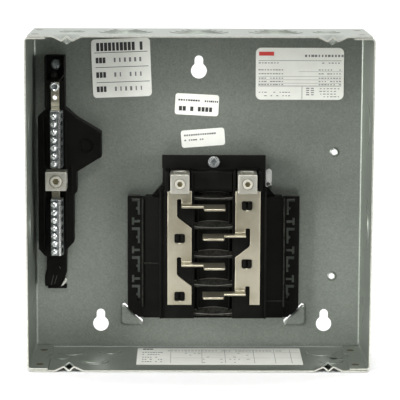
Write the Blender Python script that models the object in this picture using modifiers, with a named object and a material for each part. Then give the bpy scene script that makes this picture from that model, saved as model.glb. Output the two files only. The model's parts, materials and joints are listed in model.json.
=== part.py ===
"""Indoor subpanel enclosure: a galvanised load-centre box, open at the front, with its moulded
bus carrier, two bus bars, main lugs and an insulated neutral assembly.

Frame: X to the right, Y into the wall, Z up. The origin is the centre of the back wall's outer
face, which bears on the building wall. Sizes below are in millimetres, and MM turns them into
Blender's metres. A pair of numbers is the low and high limit of a block along one axis.
"""

import math

import bmesh
import bpy
from mathutils import Matrix, Vector

MM = 0.001
GAP = 0.3  # clearance between pieces that touch

# Sheet-metal box
BOX_W = 288.9
BOX_H = 282.6
BOX_D = 88.9
SHEET = 1.3
FLANGE_W = 17.3
PAN_TOP = BOX_H / 2 - SHEET - GAP
INNER_X = BOX_W / 2 - SHEET

# Mounting keyholes: a screw head passes the round part and hangs in the slot above it
KEYHOLES = ((0.0, 104.8), (-85.7, -119.0), (111.0, -119.0))
KEY_HEAD_R = 6.8
KEY_SLOT_W = 7.4
KEY_REACH = 13.2
EXTRUDED_HOLES = ((117.3, -76.0), (118.3, 34.0))
EXTRUDED_HOLE_R = 2.5

# Cover-screw tabs at the front edges of the end walls
COVER_TAB_X = 109.2
COVER_TAB_HALF = 13.5
COVER_TAB_DROP = 4.7
COVER_TAB_CROWN = 8.0
COVER_TAB_DEPTH = 7.0

# Moulded bus carrier (base)
BASE_X = (-61.6, 87.8)
BASE_Z = (-111.3, -3.2)
HEAD_X = (-31.6, 57.6)
HEAD_TOP_Z = 34.1
HEAD_BACK_Z = 31.2
BASE_FLOOR_Y = -1.6
RAIL_Y = -14.0
RAIL_T = 2.4
WINDOW_X = {-1: (-50.9, -58.0), 1: (76.7, 83.8)}
WINDOW_TOP_Z = -5.7
HEAD_Y = -24.0
BODY_Y = -22.0
TRAY_Y = -32.0
WALL = 2.6
CENTRE_X = 13.0
BASE_SCREW_Z = 28.4
BASE_SCREW_HEAD_R = 5.2
SPACE_PITCH = 25.4

# Pockets that hold the lower corners of the base
PAD_RISE = 4.3
PAD_SIZE = 18.6
TUCK_Y = (-4.0, -1.9)

# Bus bars and stabs
BAR_T = 1.8
BAR_Z = (-95.3, 4.4)
LEFT_BAR_X = (-26.7, -6.0)
RIGHT_BAR_X = (31.6, 53.0)
BAR_Y = (TRAY_Y - GAP - BAR_T, TRAY_Y - GAP)
STAB_TOP_Z = -7.9
STAB_SHOULDER_Y = -46.0
STAB_TIP_Y = -61.0
PEG = (7.0, 6.4)
PEG_HOLE = (8.6, 7.8)

# Main lugs, one on the upper end of each bar
LUG_W = 16.2
LUG_Z = (5.3, 21.5)
LUG_Y = (-56.0, -29.5)
LUG_PORT_W = 11.0
LUG_PORT_Y = (-48.5, BAR_Y[1] + GAP)
LUG_X = {"left": -16.2, "right": 41.3}
MAIN_SET_SCREW_R = 4.3
SOCKET_SHARE = 0.55

# Neutral assembly on the left
STRAP_X = (-126.8, -121.0)
STRAP_Y = (-21.9, -20.3)
NEUTRAL_Y = -22.2
TERMINAL_Y = (-36.0, NEUTRAL_Y)
TERMINAL_X = (-127.0, -116.6)
TERMINAL_SCREW_X = -123.9
TERMINAL_PITCH = 6.8
TERMINAL_COUNT = 7
TERMINAL_BARS = {"upper": 48.5, "lower": -27.6}
TERMINAL_HALF = 24.4
TERMINAL_HEAD_R = 2.85
TERMINAL_BACKED_OUT = 3.0
NEUTRAL_LUG_X = (-131.0, -113.2)
NEUTRAL_LUG_Z = (5.2, 21.6)
NEUTRAL_LUG_Y = (-42.0, NEUTRAL_Y)
NEUTRAL_SET_SCREW_R = 5.0
BOND_HOLE = (-123.6, 83.4)
RIVET = (-124.2, 93.0)
FOOT_SCREW = (-122.9, 111.2)
FOOT_SCREW_HEAD_R = 4.8

# Paper labels: centre, size and turn in degrees about Y
LABEL_T = 0.3
WALL_LABELS = {
    "circuit_label": ((-67.0, 107.2), (51.0, 50.7), 2.2),
    "rating_label": ((87.5, 102.4), (76.3, 45.1), 0.0),
    "caution_label": ((-1.6, 75.3), (38.0, 18.5), -2.9),
    "inspection_label": ((3.8, 46.4), (38.0, 15.2), 4.5),
}
DIRECTORY_LABEL_X = (-53.0, 89.3)
DIRECTORY_LABEL_Y = (-69.8, -9.8)


def clear_scene():
    for obj in list(bpy.data.objects):
        bpy.data.objects.remove(obj, do_unlink=True)


def new_collection(name):
    collection = bpy.data.collections.new(name)
    bpy.context.scene.collection.children.link(collection)
    return collection


clear_scene()
PARTS = new_collection("subpanel_enclosure")
CUTTERS = new_collection("cutters")


def material(name, colour, roughness, metallic):
    mat = bpy.data.materials.new(name)
    mat.use_nodes = True
    shader = mat.node_tree.nodes["Principled BSDF"]
    shader.inputs["Base Color"].default_value = (*colour, 1.0)
    shader.inputs["Roughness"].default_value = roughness
    shader.inputs["Metallic"].default_value = metallic
    return mat


GALVANISED = material("galvanised_steel", (0.17, 0.19, 0.17), 0.45, 0.8)
BLACK_PLASTIC = material("black_moulding", (0.012, 0.012, 0.011), 0.5, 0.0)
TINNED = material("tin_plated_bar", (0.45, 0.42, 0.33), 0.35, 0.9)
ALUMINIUM = material("lug_aluminium", (0.6, 0.59, 0.55), 0.35, 0.9)
ZINC = material("zinc_screw", (0.4, 0.42, 0.42), 0.3, 0.95)
NYLON = material("white_nylon", (0.75, 0.75, 0.72), 0.5, 0.0)
PAPER = material("label_paper", (0.7, 0.7, 0.66), 0.7, 0.0)


# --- modelling helpers -------------------------------------------------------------------------


def place(name, mesh, centre, mat=None):
    """Link a mesh at a centre given in millimetres."""
    obj = bpy.data.objects.new(name, mesh)
    obj.location = Vector(centre) * MM
    PARTS.objects.link(obj)
    if mat:
        mesh.materials.clear()
        mesh.materials.append(mat)
    return obj


def box(name, x, y, z, mat=None):
    """A block between the limits x, y and z."""
    mesh = bpy.data.meshes.new(name)
    bm = bmesh.new()
    bmesh.ops.create_cube(bm, size=1.0)
    size = [(hi - lo) * MM for lo, hi in (x, y, z)]
    bmesh.ops.scale(bm, vec=size, verts=bm.verts)
    bm.to_mesh(mesh)
    bm.free()
    return place(name, mesh, [(lo + hi) / 2 for lo, hi in (x, y, z)], mat)


TURNS = {
    "X": Matrix.Rotation(math.pi / 2, 4, "Y"),
    "Y": Matrix.Rotation(math.pi / 2, 4, "X"),
    "Z": Matrix.Identity(4),
}


def rod(name, radius, centre, length, axis="Y", sides=20, mat=None):
    """A cylinder (or a prism of few sides) along an axis."""
    mesh = bpy.data.meshes.new(name)
    bm = bmesh.new()
    bmesh.ops.create_cone(
        bm,
        cap_ends=True,
        segments=sides,
        radius1=radius * MM,
        radius2=radius * MM,
        depth=length * MM,
        matrix=TURNS[axis],
    )
    bm.to_mesh(mesh)
    bm.free()
    return place(name, mesh, centre, mat)


def plate(name, outline, y, mat=None):
    """A flat outline of (x, z) points, thickened along Y between the limits y."""
    curve = bpy.data.curves.new(name, "CURVE")
    curve.dimensions = "2D"
    curve.fill_mode = "BOTH"
    curve.extrude = (y[1] - y[0]) / 2 * MM
    spline = curve.splines.new("POLY")
    spline.points.add(len(outline) - 1)
    for point, (px, pz) in zip(spline.points, outline):
        point.co = (px * MM, pz * MM, 0.0, 1.0)
    spline.use_cyclic_u = True
    guide = bpy.data.objects.new(name + "_outline", curve)
    guide.rotation_euler = (math.pi / 2, 0.0, 0.0)
    guide.location = (0.0, (y[0] + y[1]) / 2 * MM, 0.0)
    PARTS.objects.link(guide)
    return curve_to_mesh(name, guide, mat)


def curve_to_mesh(name, guide, mat=None):
    """The welded mesh of a curve object, in the curve's place."""
    bpy.context.view_layer.update()
    evaluated = guide.evaluated_get(bpy.context.evaluated_depsgraph_get())
    mesh = bpy.data.meshes.new_from_object(evaluated)
    mesh.name = name
    bm = bmesh.new()
    bm.from_mesh(mesh)
    bmesh.ops.remove_doubles(bm, verts=bm.verts, dist=1e-6)
    bmesh.ops.recalc_face_normals(bm, faces=bm.faces)
    bm.to_mesh(mesh)
    bm.free()
    obj = place(name, mesh, (0.0, 0.0, 0.0), mat)
    obj.matrix_world = guide.matrix_world.copy()
    bpy.data.objects.remove(guide)
    return obj


def hide_as_cutter(tool):
    for owner in tool.users_collection:
        owner.objects.unlink(tool)
    CUTTERS.objects.link(tool)
    tool.hide_render = True
    tool.display_type = "WIRE"


def boolean(obj, tool, operation):
    modifier = obj.modifiers.new(operation.lower(), "BOOLEAN")
    modifier.operation = operation
    modifier.object = tool
    hide_as_cutter(tool)


def cut(obj, *tools):
    for tool in tools:
        boolean(obj, tool, "DIFFERENCE")
    return obj


def add(obj, *tools):
    for tool in tools:
        boolean(obj, tool, "UNION")
    return obj


def turned(name, profile, centre, mat, steps=16):
    """A turned piece about Y: profile points are (radius, distance towards the front)."""
    mesh = bpy.data.meshes.new(name)
    points = [(r * MM, 0.0, along * MM) for r, along in profile]
    edges = [(i, i + 1) for i in range(len(points) - 1)]
    mesh.from_pydata(points, edges, [])
    obj = place(name, mesh, centre, mat)
    obj.rotation_euler = (math.pi / 2, 0.0, 0.0)
    screw = obj.modifiers.new("turn", "SCREW")
    screw.steps = steps
    screw.render_steps = steps
    screw.use_merge_vertices = True
    screw.merge_threshold = 1e-6
    screw.use_smooth_shade = True
    return obj


def arc(centre, radius, start, end, steps):
    """Points on an arc, in degrees from +X towards +Z."""
    turn = [math.radians(start + (end - start) * i / steps) for i in range(steps + 1)]
    return [(centre[0] + radius * math.cos(a), centre[1] + radius * math.sin(a)) for a in turn]


# --- sheet-metal box ---------------------------------------------------------------------------


def keyhole_outline(x, z):
    half = KEY_SLOT_W / 2
    meet = math.degrees(math.acos(half / KEY_HEAD_R))
    head = arc((x, z), KEY_HEAD_R, 180 - meet, 360 + meet, 20)
    slot_end = arc((x, z + KEY_REACH - half), half, 0, 180, 10)
    return head + slot_end


def corner_pad(side, corner_x):
    """The raised pocket over a lower corner of the base: side is -1 on the left, +1 on the right."""
    corner_z = BASE_Z[0] - 8.4
    radius = 4.0
    inner_x = corner_x - side * PAD_SIZE
    bend = (corner_x - side * radius, corner_z + radius)
    angles = (270, 180) if side < 0 else (270, 360)
    outline = [(inner_x, corner_z)]
    outline += arc(bend, radius, *angles, 5)
    outline += [(corner_x, corner_z + PAD_SIZE), (corner_x - side * 3.4, corner_z + PAD_SIZE)]
    outline += [(inner_x, corner_z + 3.6)]
    return outline


def shrink(outline, inset, side):
    """Move the outer sides of a pad in by the sheet's thickness, and its cut side out past it."""
    xs = [p[0] for p in outline]
    zs = [p[1] for p in outline]
    outer = min(xs) if side < 0 else max(xs)
    inner = max(xs) if side < 0 else min(xs)
    low = min(zs)
    high = max(zs)
    reach = 2.0
    return [
        (inner, low + inset),
        (outer - side * inset, low + inset),
        (outer - side * inset, high),
        (outer - side * 3.4, high + reach),
        (inner - side * reach, low + 3.6 + reach),
    ]


def make_pan():
    """Back wall, side walls and end flanges, folded from one sheet."""
    pan = box("enclosure_pan", (-BOX_W / 2, BOX_W / 2), (-SHEET, 0), (-PAN_TOP, PAN_TOP), GALVANISED)
    for side in (-1, 1):
        x = sorted((side * BOX_W / 2, side * INNER_X))
        add(pan, box("side_wall", x, (-BOX_D, -SHEET / 2), (-PAN_TOP, PAN_TOP)))
        flange_x = sorted((side * (BOX_W / 2 - SHEET / 2), side * (BOX_W / 2 - FLANGE_W)))
        for end in (-1, 1):
            z = sorted((end * PAN_TOP, end * (PAN_TOP - SHEET)))
            add(pan, box("end_flange", flange_x, (-BOX_D + 0.4, -SHEET / 2), z))
    for side, corner_x in ((-1, -67.9), (1, 94.6)):
        outline = corner_pad(side, corner_x)
        add(pan, plate("pad", outline, (-SHEET - PAD_RISE, -SHEET / 2)))
        hollow = shrink(outline, SHEET, side)
        cut(pan, plate("pad_hollow", hollow, (-PAD_RISE, 1.0)))
    add(pan, box("insulator_hook", (-119.1, -115.4), (-9.5, -SHEET / 2), (-77.5, -75.9)))
    add(pan, box("hook_lip", (-119.1, -115.4), (-9.5, -8.2), (-84.0, -75.9)))
    for x, z in EXTRUDED_HOLES:
        add(pan, rod("hole_collar", EXTRUDED_HOLE_R + 1.3, (x, -1.5, z), 2.0))
        cut(pan, rod("screw_hole", EXTRUDED_HOLE_R, (x, 0, z), 12.0))
    cut(pan, rod("bond_hole", 3.4, (BOND_HOLE[0], 0, BOND_HOLE[1] - 2.4), 6.0))
    for x, z in KEYHOLES:
        cut(pan, plate("keyhole", keyhole_outline(x, z), (-4.0, 2.0)))
    return pan


def cover_tab(end, x):
    """The V-shaped loop at the front edge that takes a cover screw."""
    root = end * (BOX_H / 2 - SHEET / 2)
    shoulder = root - end * COVER_TAB_DROP
    outline = [
        (x - COVER_TAB_HALF, root),
        (x - 5.6, shoulder),
        (x, root - end * COVER_TAB_CROWN),
        (x + 5.6, shoulder),
        (x + COVER_TAB_HALF, root),
    ]
    return plate("cover_tab", outline, (-BOX_D + 0.2, -BOX_D + COVER_TAB_DEPTH))


def make_end_wall(name, end):
    z = sorted((end * BOX_H / 2, end * (BOX_H / 2 - SHEET)))
    wall = box(name, (-BOX_W / 2, BOX_W / 2), (-BOX_D, 0), z, GALVANISED)
    for x in (-COVER_TAB_X, COVER_TAB_X):
        add(wall, cover_tab(end, x))
        hole_z = end * (BOX_H / 2 - COVER_TAB_DROP + 0.2)
        cut(wall, rod("cover_screw_hole", 2.2, (x, -BOX_D, hole_z), 30.0, sides=4))
    return wall


# --- moulded base ------------------------------------------------------------------------------


def base_outline():
    """The base's outline, its lower corners cut back for the pockets."""
    cut_back = 8.3
    left, right = BASE_X
    bottom, top = BASE_Z
    return [
        (left, bottom + cut_back),
        (left + cut_back + 1.2, bottom),
        (right - cut_back - 1.2, bottom),
        (right, bottom + cut_back),
        (right, top),
        (66.9, top),
        (59.9, 4.6),
        (HEAD_X[1], 4.6),
        (HEAD_X[0], 7.0),
        (-40.8, top),
        (left, top),
    ]


def rail_windows(side):
    """Cut-outs beside each breaker space: a hook slot and a smaller T slot, one pair an inch."""
    windows = []
    through = (RAIL_Y - 6.0, 1.0)
    inner, outer = WINDOW_X[side]
    across = sorted((inner, outer))
    inner_leg = sorted((inner, inner + side * 1.9))
    outer_leg = sorted((outer - side * 2.3, outer))
    for space in range(4):
        top = WINDOW_TOP_Z - SPACE_PITCH * space
        windows.append(box("hook_slot", across, through, (top - 2.8, top)))
        windows.append(box("hook_leg", inner_leg, through, (top - 14.4, top - 2.0)))
        if space < 3:
            tee_top = top - 16.8
            windows.append(box("tee_slot", across, through, (tee_top - 4.6, tee_top - 1.9)))
            windows.append(box("tee_leg", outer_leg, through, (tee_top - 6.6, tee_top)))
    return windows


def make_base():
    """The bus carrier: rails at the sides, trays for the bars and a well for the stabs."""
    base = plate("interior_base", base_outline(), (RAIL_Y, BASE_FLOOR_Y), BLACK_PLASTIC)
    add(base, box("head", HEAD_X, (HEAD_Y, BASE_FLOOR_Y - 0.4), (4.0, HEAD_TOP_Z)))
    add(base, box("body", (-49.6, 76.4), (BODY_Y, RAIL_Y + 1.0), (BASE_Z[0] + 0.4, BASE_Z[1] - 0.4)))
    tray_z = (BASE_Z[0] + 0.8, 5.0)
    add(base, box("left_tray", (-32.4, -5.2), (TRAY_Y, BODY_Y + 1.0), tray_z))
    add(base, box("right_tray", (30.7, 57.2), (TRAY_Y, BODY_Y + 1.0), tray_z))
    lug_bay_z = (4.6, 22.6)
    add(base, box("lug_bays", (HEAD_X[0] + 0.4, HEAD_X[1] - 0.4), (LUG_Y[1] + GAP, BODY_Y), lug_bay_z))
    add(base, box("lug_barrier", (-4.1, 28.6), (-40.0, LUG_Y[1] + 1.0), (5.0, 22.2)))
    for corner, toward in ((BASE_X[0], 1), (BASE_X[1], -1)):
        tuck_x = sorted((corner + toward * 1.0, corner + toward * 14.0))
        add(base, box("corner_tuck", tuck_x, TUCK_Y, (BASE_Z[0] + 0.8, BASE_Z[0] + 14.0)))
    for space in range(5):
        z = STAB_TOP_Z + 6.4 - SPACE_PITCH * space
        add(base, box("barrier", (-5.6, 31.0), (-30.0, BODY_Y + 1.0), (z - 1.1, z + 1.1)))
    for x, z in peg_places():
        peg = box("peg", (x - PEG[0] / 2, x + PEG[0] / 2), (-36.4, TRAY_Y + 1.0), peg_z(z))
        add(base, peg)
    for name, x, y, z in (
        ("left_core", (-30.0, -8.0), (TRAY_Y + WALL, 1.0), (-108.0, -2.0)),
        ("right_core", (33.4, 54.6), (TRAY_Y + WALL, 1.0), (-108.0, -2.0)),
        ("well_core", (-5.0, 30.4), (BODY_Y + WALL, 1.0), (-108.0, -2.0)),
        ("head_core_left", (-28.6, 5.0), (HEAD_Y + WALL, 1.0), (7.0, HEAD_BACK_Z - WALL)),
        ("head_core_right", (20.8, 54.6), (HEAD_Y + WALL, 1.0), (7.0, HEAD_BACK_Z - WALL)),
        ("left_side_core", (-47.0, -33.0), (BODY_Y + WALL, 1.0), (-108.0, -4.0)),
        ("right_side_core", (57.6, 73.6), (BODY_Y + WALL, 1.0), (-108.0, -4.0)),
    ):
        cut(base, box(name, x, y, z))
    rail_back = (RAIL_Y + RAIL_T, 1.0)
    rail_z = (-96.0, BASE_Z[1] - RAIL_T)
    cut(base, box("left_rail_back", (BASE_X[0] - 1.0, -49.8), rail_back, rail_z))
    cut(base, box("right_rail_back", (76.6, BASE_X[1] + 1.0), rail_back, rail_z))
    cut(base, box("head_step", (-40.0, 60.0), (HEAD_Y + WALL, 1.0), (HEAD_BACK_Z, 40.0)))
    cut(base, *rail_windows(-1), *rail_windows(1))
    cut(base, rod("base_screw_hole", 2.7, (CENTRE_X, -14.0, BASE_SCREW_Z), 40.0, sides=16))
    return base


def peg_places():
    """Pegs stand one and three pitches down the left bar, and between them on the right bar."""
    left = [(-16.3, -37.0 - 2 * SPACE_PITCH * i) for i in range(2)]
    right = [(41.6, -8.4 - 2 * SPACE_PITCH * i) for i in range(2)]
    return left + right


def peg_z(z):
    return (z - PEG[1] / 2, z + PEG[1] / 2)


# --- bus bars, lugs and their screws -----------------------------------------------------------


def make_stab(name, z, root_x, side):
    """side is +1 where the stab reaches right from its bar, and -1 where it reaches left."""
    step_x = CENTRE_X - side * 9.5
    shoulder_x = sorted((root_x, step_x + side * 0.5))
    tip_x = sorted((step_x, CENTRE_X + side * 9.5))
    z_limits = (z - BAR_T / 2, z + BAR_T / 2)
    shoulder = box(name, shoulder_x, (STAB_SHOULDER_Y, BAR_Y[0] + 0.4), z_limits)
    tip = box(name + "_tip", tip_x, (STAB_TIP_Y, BAR_Y[0] - 1.0), z_limits)
    return shoulder, tip


def make_bar(name, bar_x, side, first_space):
    """A bus bar: stabs at every second space are bent forward out of the notches they leave."""
    bar = box(name, bar_x, BAR_Y, BAR_Z, TINNED)
    lug_x = LUG_X[name.split("_")[0]]
    add(bar, box("tongue", (lug_x - 5.0, lug_x + 5.0), BAR_Y, (BAR_Z[1] - 1.0, 18.5)))
    inner_edge = bar_x[1] if side > 0 else bar_x[0]
    slot_far = inner_edge - side * 12.7
    slot_near = inner_edge - side * 8.8
    for i in range(2):
        z = STAB_TOP_Z - SPACE_PITCH * (first_space + 2 * i)
        beyond = inner_edge + side * 2.0
        notch = [
            (slot_far, z + 4.2),
            (slot_near, z + 4.2),
            (slot_near, z - BAR_T / 2),
            (beyond, z - BAR_T / 2),
            (beyond, z - 21.4 + 1.8),
            (slot_far, z - 10.4),
        ]
        if side > 0:
            notch.reverse()
        cut(bar, plate("notch", notch, (BAR_Y[0] - 1.0, BAR_Y[1] + 1.0)))
        add(bar, *make_stab("stab", z, slot_near, side))
    for x, z in peg_places():
        if bar_x[0] < x < bar_x[1]:
            hole_x = (x - PEG_HOLE[0] / 2, x + PEG_HOLE[0] / 2)
            hole_z = (z - PEG_HOLE[1] / 2, z + PEG_HOLE[1] / 2)
            cut(bar, box("peg_hole", hole_x, (BAR_Y[0] - 1.0, BAR_Y[1] + 1.0), hole_z))
    return bar


def make_main_lug(side):
    x = LUG_X[side]
    lug = box(side + "_main_lug", (x - LUG_W / 2, x + LUG_W / 2), LUG_Y, LUG_Z, ALUMINIUM)
    port_x = (x - LUG_PORT_W / 2, x + LUG_PORT_W / 2)
    cut(lug, box("wire_port", port_x, LUG_PORT_Y, (LUG_Z[0] - 2.0, LUG_Z[1] + 2.0)))
    middle = (LUG_Z[0] + LUG_Z[1]) / 2
    cut(lug, rod("screw_bore", MAIN_SET_SCREW_R + GAP, (x, LUG_Y[0], middle), 18.0, sides=24))
    return lug


def make_set_screw(name, place_at, radius, length):
    """A socket set screw. Its origin is on its axis, at its front face."""
    chamfer = 0.6
    profile = [
        (0.0, 0.0),
        (radius - chamfer, 0.0),
        (radius, -chamfer),
        (radius, chamfer - length),
        (radius - 2 * chamfer, -length),
        (0.0, -length),
    ]
    screw = turned(name, profile, place_at, ALUMINIUM, steps=24)
    socket = rod(name + "_socket", radius * SOCKET_SHARE, place_at, 7.0, sides=6)
    cut(screw, socket)
    return screw


# --- neutral assembly --------------------------------------------------------------------------


def insulator_outline():
    """The wide body of the insulator, with the flap that reaches into the wiring space."""
    return [
        (-132.4, 72.0),
        (-138.4, 66.5),
        (-138.6, -49.0),
        (-133.6, -54.9),
        (-131.4, -56.0),
        (-114.4, -56.0),
        (-114.4, -49.8),
        (-108.0, -42.7),
        (-107.7, -1.4),
        (-105.2, 1.2),
        (-105.1, 18.6),
        (-83.9, 31.8),
        (-83.9, 52.4),
        (-105.3, 65.5),
        (-115.0, 74.0),
    ]


def make_insulator():
    insulator = plate(
        "neutral_insulator", insulator_outline(), (-20.0, BASE_FLOOR_Y), BLACK_PLASTIC
    )
    add(insulator, box("tongue", (-132.0, -115.0), (-20.0, BASE_FLOOR_Y - 0.3), (70.0, 98.0)))
    add(insulator, box("foot", (-132.0, -115.0), (-13.0, BASE_FLOOR_Y - 0.3), (97.0, 119.6)))
    add(insulator, rod("dome", 4.6, (-123.6, -13.6, 100.4), 3.0, sides=20))
    add(insulator, box("neck", (-131.6, -114.6), (-14.0, BASE_FLOOR_Y - 0.3), (-68.8, -55.0)))
    add(insulator, box("clip", (-133.6, -119.6), (-12.0, BASE_FLOOR_Y - 0.3), (-85.2, -68.0)))
    for name, x, y, z in (
        ("body_core", (-135.6, -111.2), (-20.0 + WALL, 1.0), (-39.5, 62.0)),
        ("flap_core", (-111.8, -88.0), (-20.0 + WALL, 1.0), (34.5, 50.0)),
    ):
        cut(insulator, box(name, x, y, z))
    cut(insulator, rod("flap_recess", 6.0, (-104.6 + 8.0, -20.0, 41.6), 1.6, sides=24))
    cut(insulator, rod("screw_hole", 2.4, (FOOT_SCREW[0], -10.0, FOOT_SCREW[1]), 30.0, sides=16))
    cut(insulator, rod("rivet_hole", 2.0, (RIVET[0], -10.0, RIVET[1]), 40.0, sides=16))
    cut(insulator, rod("bond_hole", 3.6, (BOND_HOLE[0], -10.0, BOND_HOLE[1] - 1.4), 40.0, sides=16))
    return insulator


def make_strap():
    """The tinned strap under both terminal bars and the neutral lug."""
    strap = box("neutral_strap", STRAP_X, STRAP_Y, (-50.0, 96.4), TINNED)
    cut(strap, rod("bond_hole", 2.0, (BOND_HOLE[0], STRAP_Y[0], BOND_HOLE[1]), 8.0, sides=20))
    cut(strap, rod("rivet_hole", 2.0, (RIVET[0], STRAP_Y[0], RIVET[1]), 8.0, sides=16))
    return strap


def terminal_heights(middle):
    half = (TERMINAL_COUNT - 1) / 2
    return [middle + (half - i) * TERMINAL_PITCH for i in range(TERMINAL_COUNT)]


def make_terminal_bar(name, middle):
    """A neutral terminal bar: canted wire side, a wire hole and a screw hole at each terminal."""
    z_limits = (middle - TERMINAL_HALF, middle + TERMINAL_HALF)
    bar = box(name, TERMINAL_X, TERMINAL_Y, z_limits, ALUMINIUM)
    cant = box("cant", (-2.5, 2.5), (-9.0, 9.0), (-TERMINAL_HALF - 1.0, TERMINAL_HALF + 1.0))
    cant.location = Vector((TERMINAL_X[1] + 1.2, TERMINAL_Y[0] - 0.4, middle)) * MM
    cant.rotation_euler = (0.0, 0.0, math.radians(-28.0))
    cut(bar, cant)
    for z in terminal_heights(middle):
        cut(bar, rod("wire_hole", 2.1, (TERMINAL_X[1], -29.6, z), 16.0, "X", 12))
        cut(bar, rod("screw_hole", 1.9 + GAP, (TERMINAL_SCREW_X, TERMINAL_Y[0], z), 13.0, "Y", 12))
    return bar


def make_terminal_screw(name, z):
    """A slotted screw, backed out to open its terminal. Its origin is on its axis, at the bar."""
    under_head = TERMINAL_BACKED_OUT
    profile = [
        (0.0, under_head + 2.0),
        (TERMINAL_HEAD_R - 0.5, under_head + 2.0),
        (TERMINAL_HEAD_R, under_head + 1.5),
        (TERMINAL_HEAD_R, under_head),
        (1.9, under_head),
        (1.9, -3.6),
        (0.0, -3.6),
    ]
    screw = turned(name, profile, (TERMINAL_SCREW_X, TERMINAL_Y[0], z), ZINC, steps=14)
    slot_x = (TERMINAL_SCREW_X - 0.5, TERMINAL_SCREW_X + 0.5)
    slot_floor = TERMINAL_Y[0] - TERMINAL_BACKED_OUT - 1.0
    slot_y = (slot_floor - 2.0, slot_floor)
    cut(screw, box(name + "_slot", slot_x, slot_y, (z - 4.0, z + 4.0)))
    return screw


def make_neutral_lug():
    lug = box("neutral_lug", NEUTRAL_LUG_X, NEUTRAL_LUG_Y, NEUTRAL_LUG_Z, ALUMINIUM)
    middle_z = sum(NEUTRAL_LUG_Z) / 2
    middle_x = sum(NEUTRAL_LUG_X) / 2
    port_z = (middle_z - 5.5, middle_z + 5.5)
    cut(lug, box("wire_port", (-140.0, -100.0), (-34.8, NEUTRAL_Y - 2.4), port_z))
    bore_at = (middle_x, NEUTRAL_LUG_Y[0], middle_z)
    cut(lug, rod("screw_bore", NEUTRAL_SET_SCREW_R + GAP, bore_at, 16.0, sides=24))
    return lug


# --- fasteners, tag and labels -----------------------------------------------------------------


def make_pan_head_screw(name, place_at, head_r, length, steps=20):
    profile = [
        (0.0, 2.9),
        (head_r * 0.55, 2.6),
        (head_r * 0.88, 1.7),
        (head_r, 0.9),
        (head_r, 0.0),
        (2.1, 0.0),
        (2.1, -length),
        (0.0, -length),
    ]
    return turned(name, profile, place_at, ZINC, steps)


def make_fasteners():
    base_screw_y = HEAD_Y - GAP
    base_screw = make_pan_head_screw(
        "base_screw", (CENTRE_X, base_screw_y, BASE_SCREW_Z), BASE_SCREW_HEAD_R, 19.0
    )
    recess = box("base_recess", (-1.6, 1.6), (-2.0, 2.0), (-1.6, 1.6))
    recess.location = Vector((CENTRE_X, base_screw_y - 3.2, BASE_SCREW_Z)) * MM
    recess.rotation_euler = (0.0, math.radians(45.0), 0.0)
    cut(base_screw, recess)
    x, z = FOOT_SCREW
    fixing = make_pan_head_screw("insulator_screw", (x, -13.0 - GAP, z), FOOT_SCREW_HEAD_R, 9.6)
    cut(fixing, box("fixing_slot", (x - 0.6, x + 0.6), (-18.0, -15.0), (z - 7.0, z + 7.0)))
    eyelet_profile = [
        (1.0, 1.6),
        (2.2, 1.6),
        (3.2, 0.9),
        (3.2, 0.0),
        (1.7, 0.0),
        (1.7, -12.0),
        (1.0, -12.0),
    ]
    rivet_at = (RIVET[0], STRAP_Y[0] - GAP, RIVET[1])
    turned("neutral_rivet", eyelet_profile + eyelet_profile[:1], rivet_at, ZINC, 20)


def make_tag():
    """The nylon tag beside the head of the base, standing on the back wall."""
    outline = [(58.2, 5.2), (64.0, 6.9)] + arc((61.1, 18.0), 2.9, 0, 180, 8)
    tag = plate("locating_tag", outline, (-8.4, -7.2), NYLON)
    add(tag, box("tag_leg", (62.4, 63.8), (-7.6, BASE_FLOOR_Y), (8.6, 17.6)))
    cut(tag, rod("tag_hole", 0.9, (60.8, -7.8, 8.6), 6.0, sides=12))
    return tag


def make_wall_label(name, middle, size, turn):
    y = -SHEET - GAP - LABEL_T / 2
    half_x, half_z = size[0] / 2, size[1] / 2
    radius = 3.2
    corners = ((1, 1, 0), (-1, 1, 90), (-1, -1, 180), (1, -1, 270))
    outline = []
    for sx, sz, start in corners:
        centre = (sx * (half_x - radius), sz * (half_z - radius))
        outline += arc(centre, radius, start, start + 90, 5)
    label = plate(name, outline, (-LABEL_T / 2, LABEL_T / 2), PAPER)
    label.rotation_euler = (math.pi / 2, math.radians(-turn), 0.0)
    label.location = Vector((middle[0], y, middle[1])) * MM
    return label


def make_directory_label():
    z = -BOX_H / 2 + SHEET + GAP
    box("directory_label", DIRECTORY_LABEL_X, DIRECTORY_LABEL_Y, (z, z + LABEL_T), PAPER)


# --- assembly ----------------------------------------------------------------------------------


def build():
    make_pan()
    make_end_wall("top_end_wall", 1)
    make_end_wall("bottom_end_wall", -1)
    make_base()
    make_bar("left_bus_bar", LEFT_BAR_X, 1, 0)
    make_bar("right_bus_bar", RIGHT_BAR_X, -1, 1)
    for side in ("left", "right"):
        make_main_lug(side)
        middle = sum(LUG_Z) / 2
        place_at = (LUG_X[side], LUG_Y[0] - 1.0, middle)
        make_set_screw(side + "_lug_set_screw", place_at, MAIN_SET_SCREW_R, 9.0)
    make_insulator()
    make_strap()
    screw_number = 1
    for position, middle in TERMINAL_BARS.items():
        make_terminal_bar(position + "_terminal_bar", middle)
        for z in terminal_heights(middle):
            make_terminal_screw(f"terminal_screw_{screw_number:02d}", z)
            screw_number += 1
    make_neutral_lug()
    place_at = (sum(NEUTRAL_LUG_X) / 2, NEUTRAL_LUG_Y[0] - 1.0, sum(NEUTRAL_LUG_Z) / 2)
    make_set_screw("neutral_lug_set_screw", place_at, NEUTRAL_SET_SCREW_R, 8.0)
    make_fasteners()
    make_tag()
    for name, (middle, size, turn) in WALL_LABELS.items():
        make_wall_label(name, middle, size, turn)
    make_directory_label()


build()
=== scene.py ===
"""Looks of the subpanel enclosure: galvanised box, moulded bus carrier, tinned bus bars,
aluminium lugs, neutral bars on their insulator, and paper labels."""

import json
import math
import random

import bmesh
import bpy
from mathutils import Matrix, Vector


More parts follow.
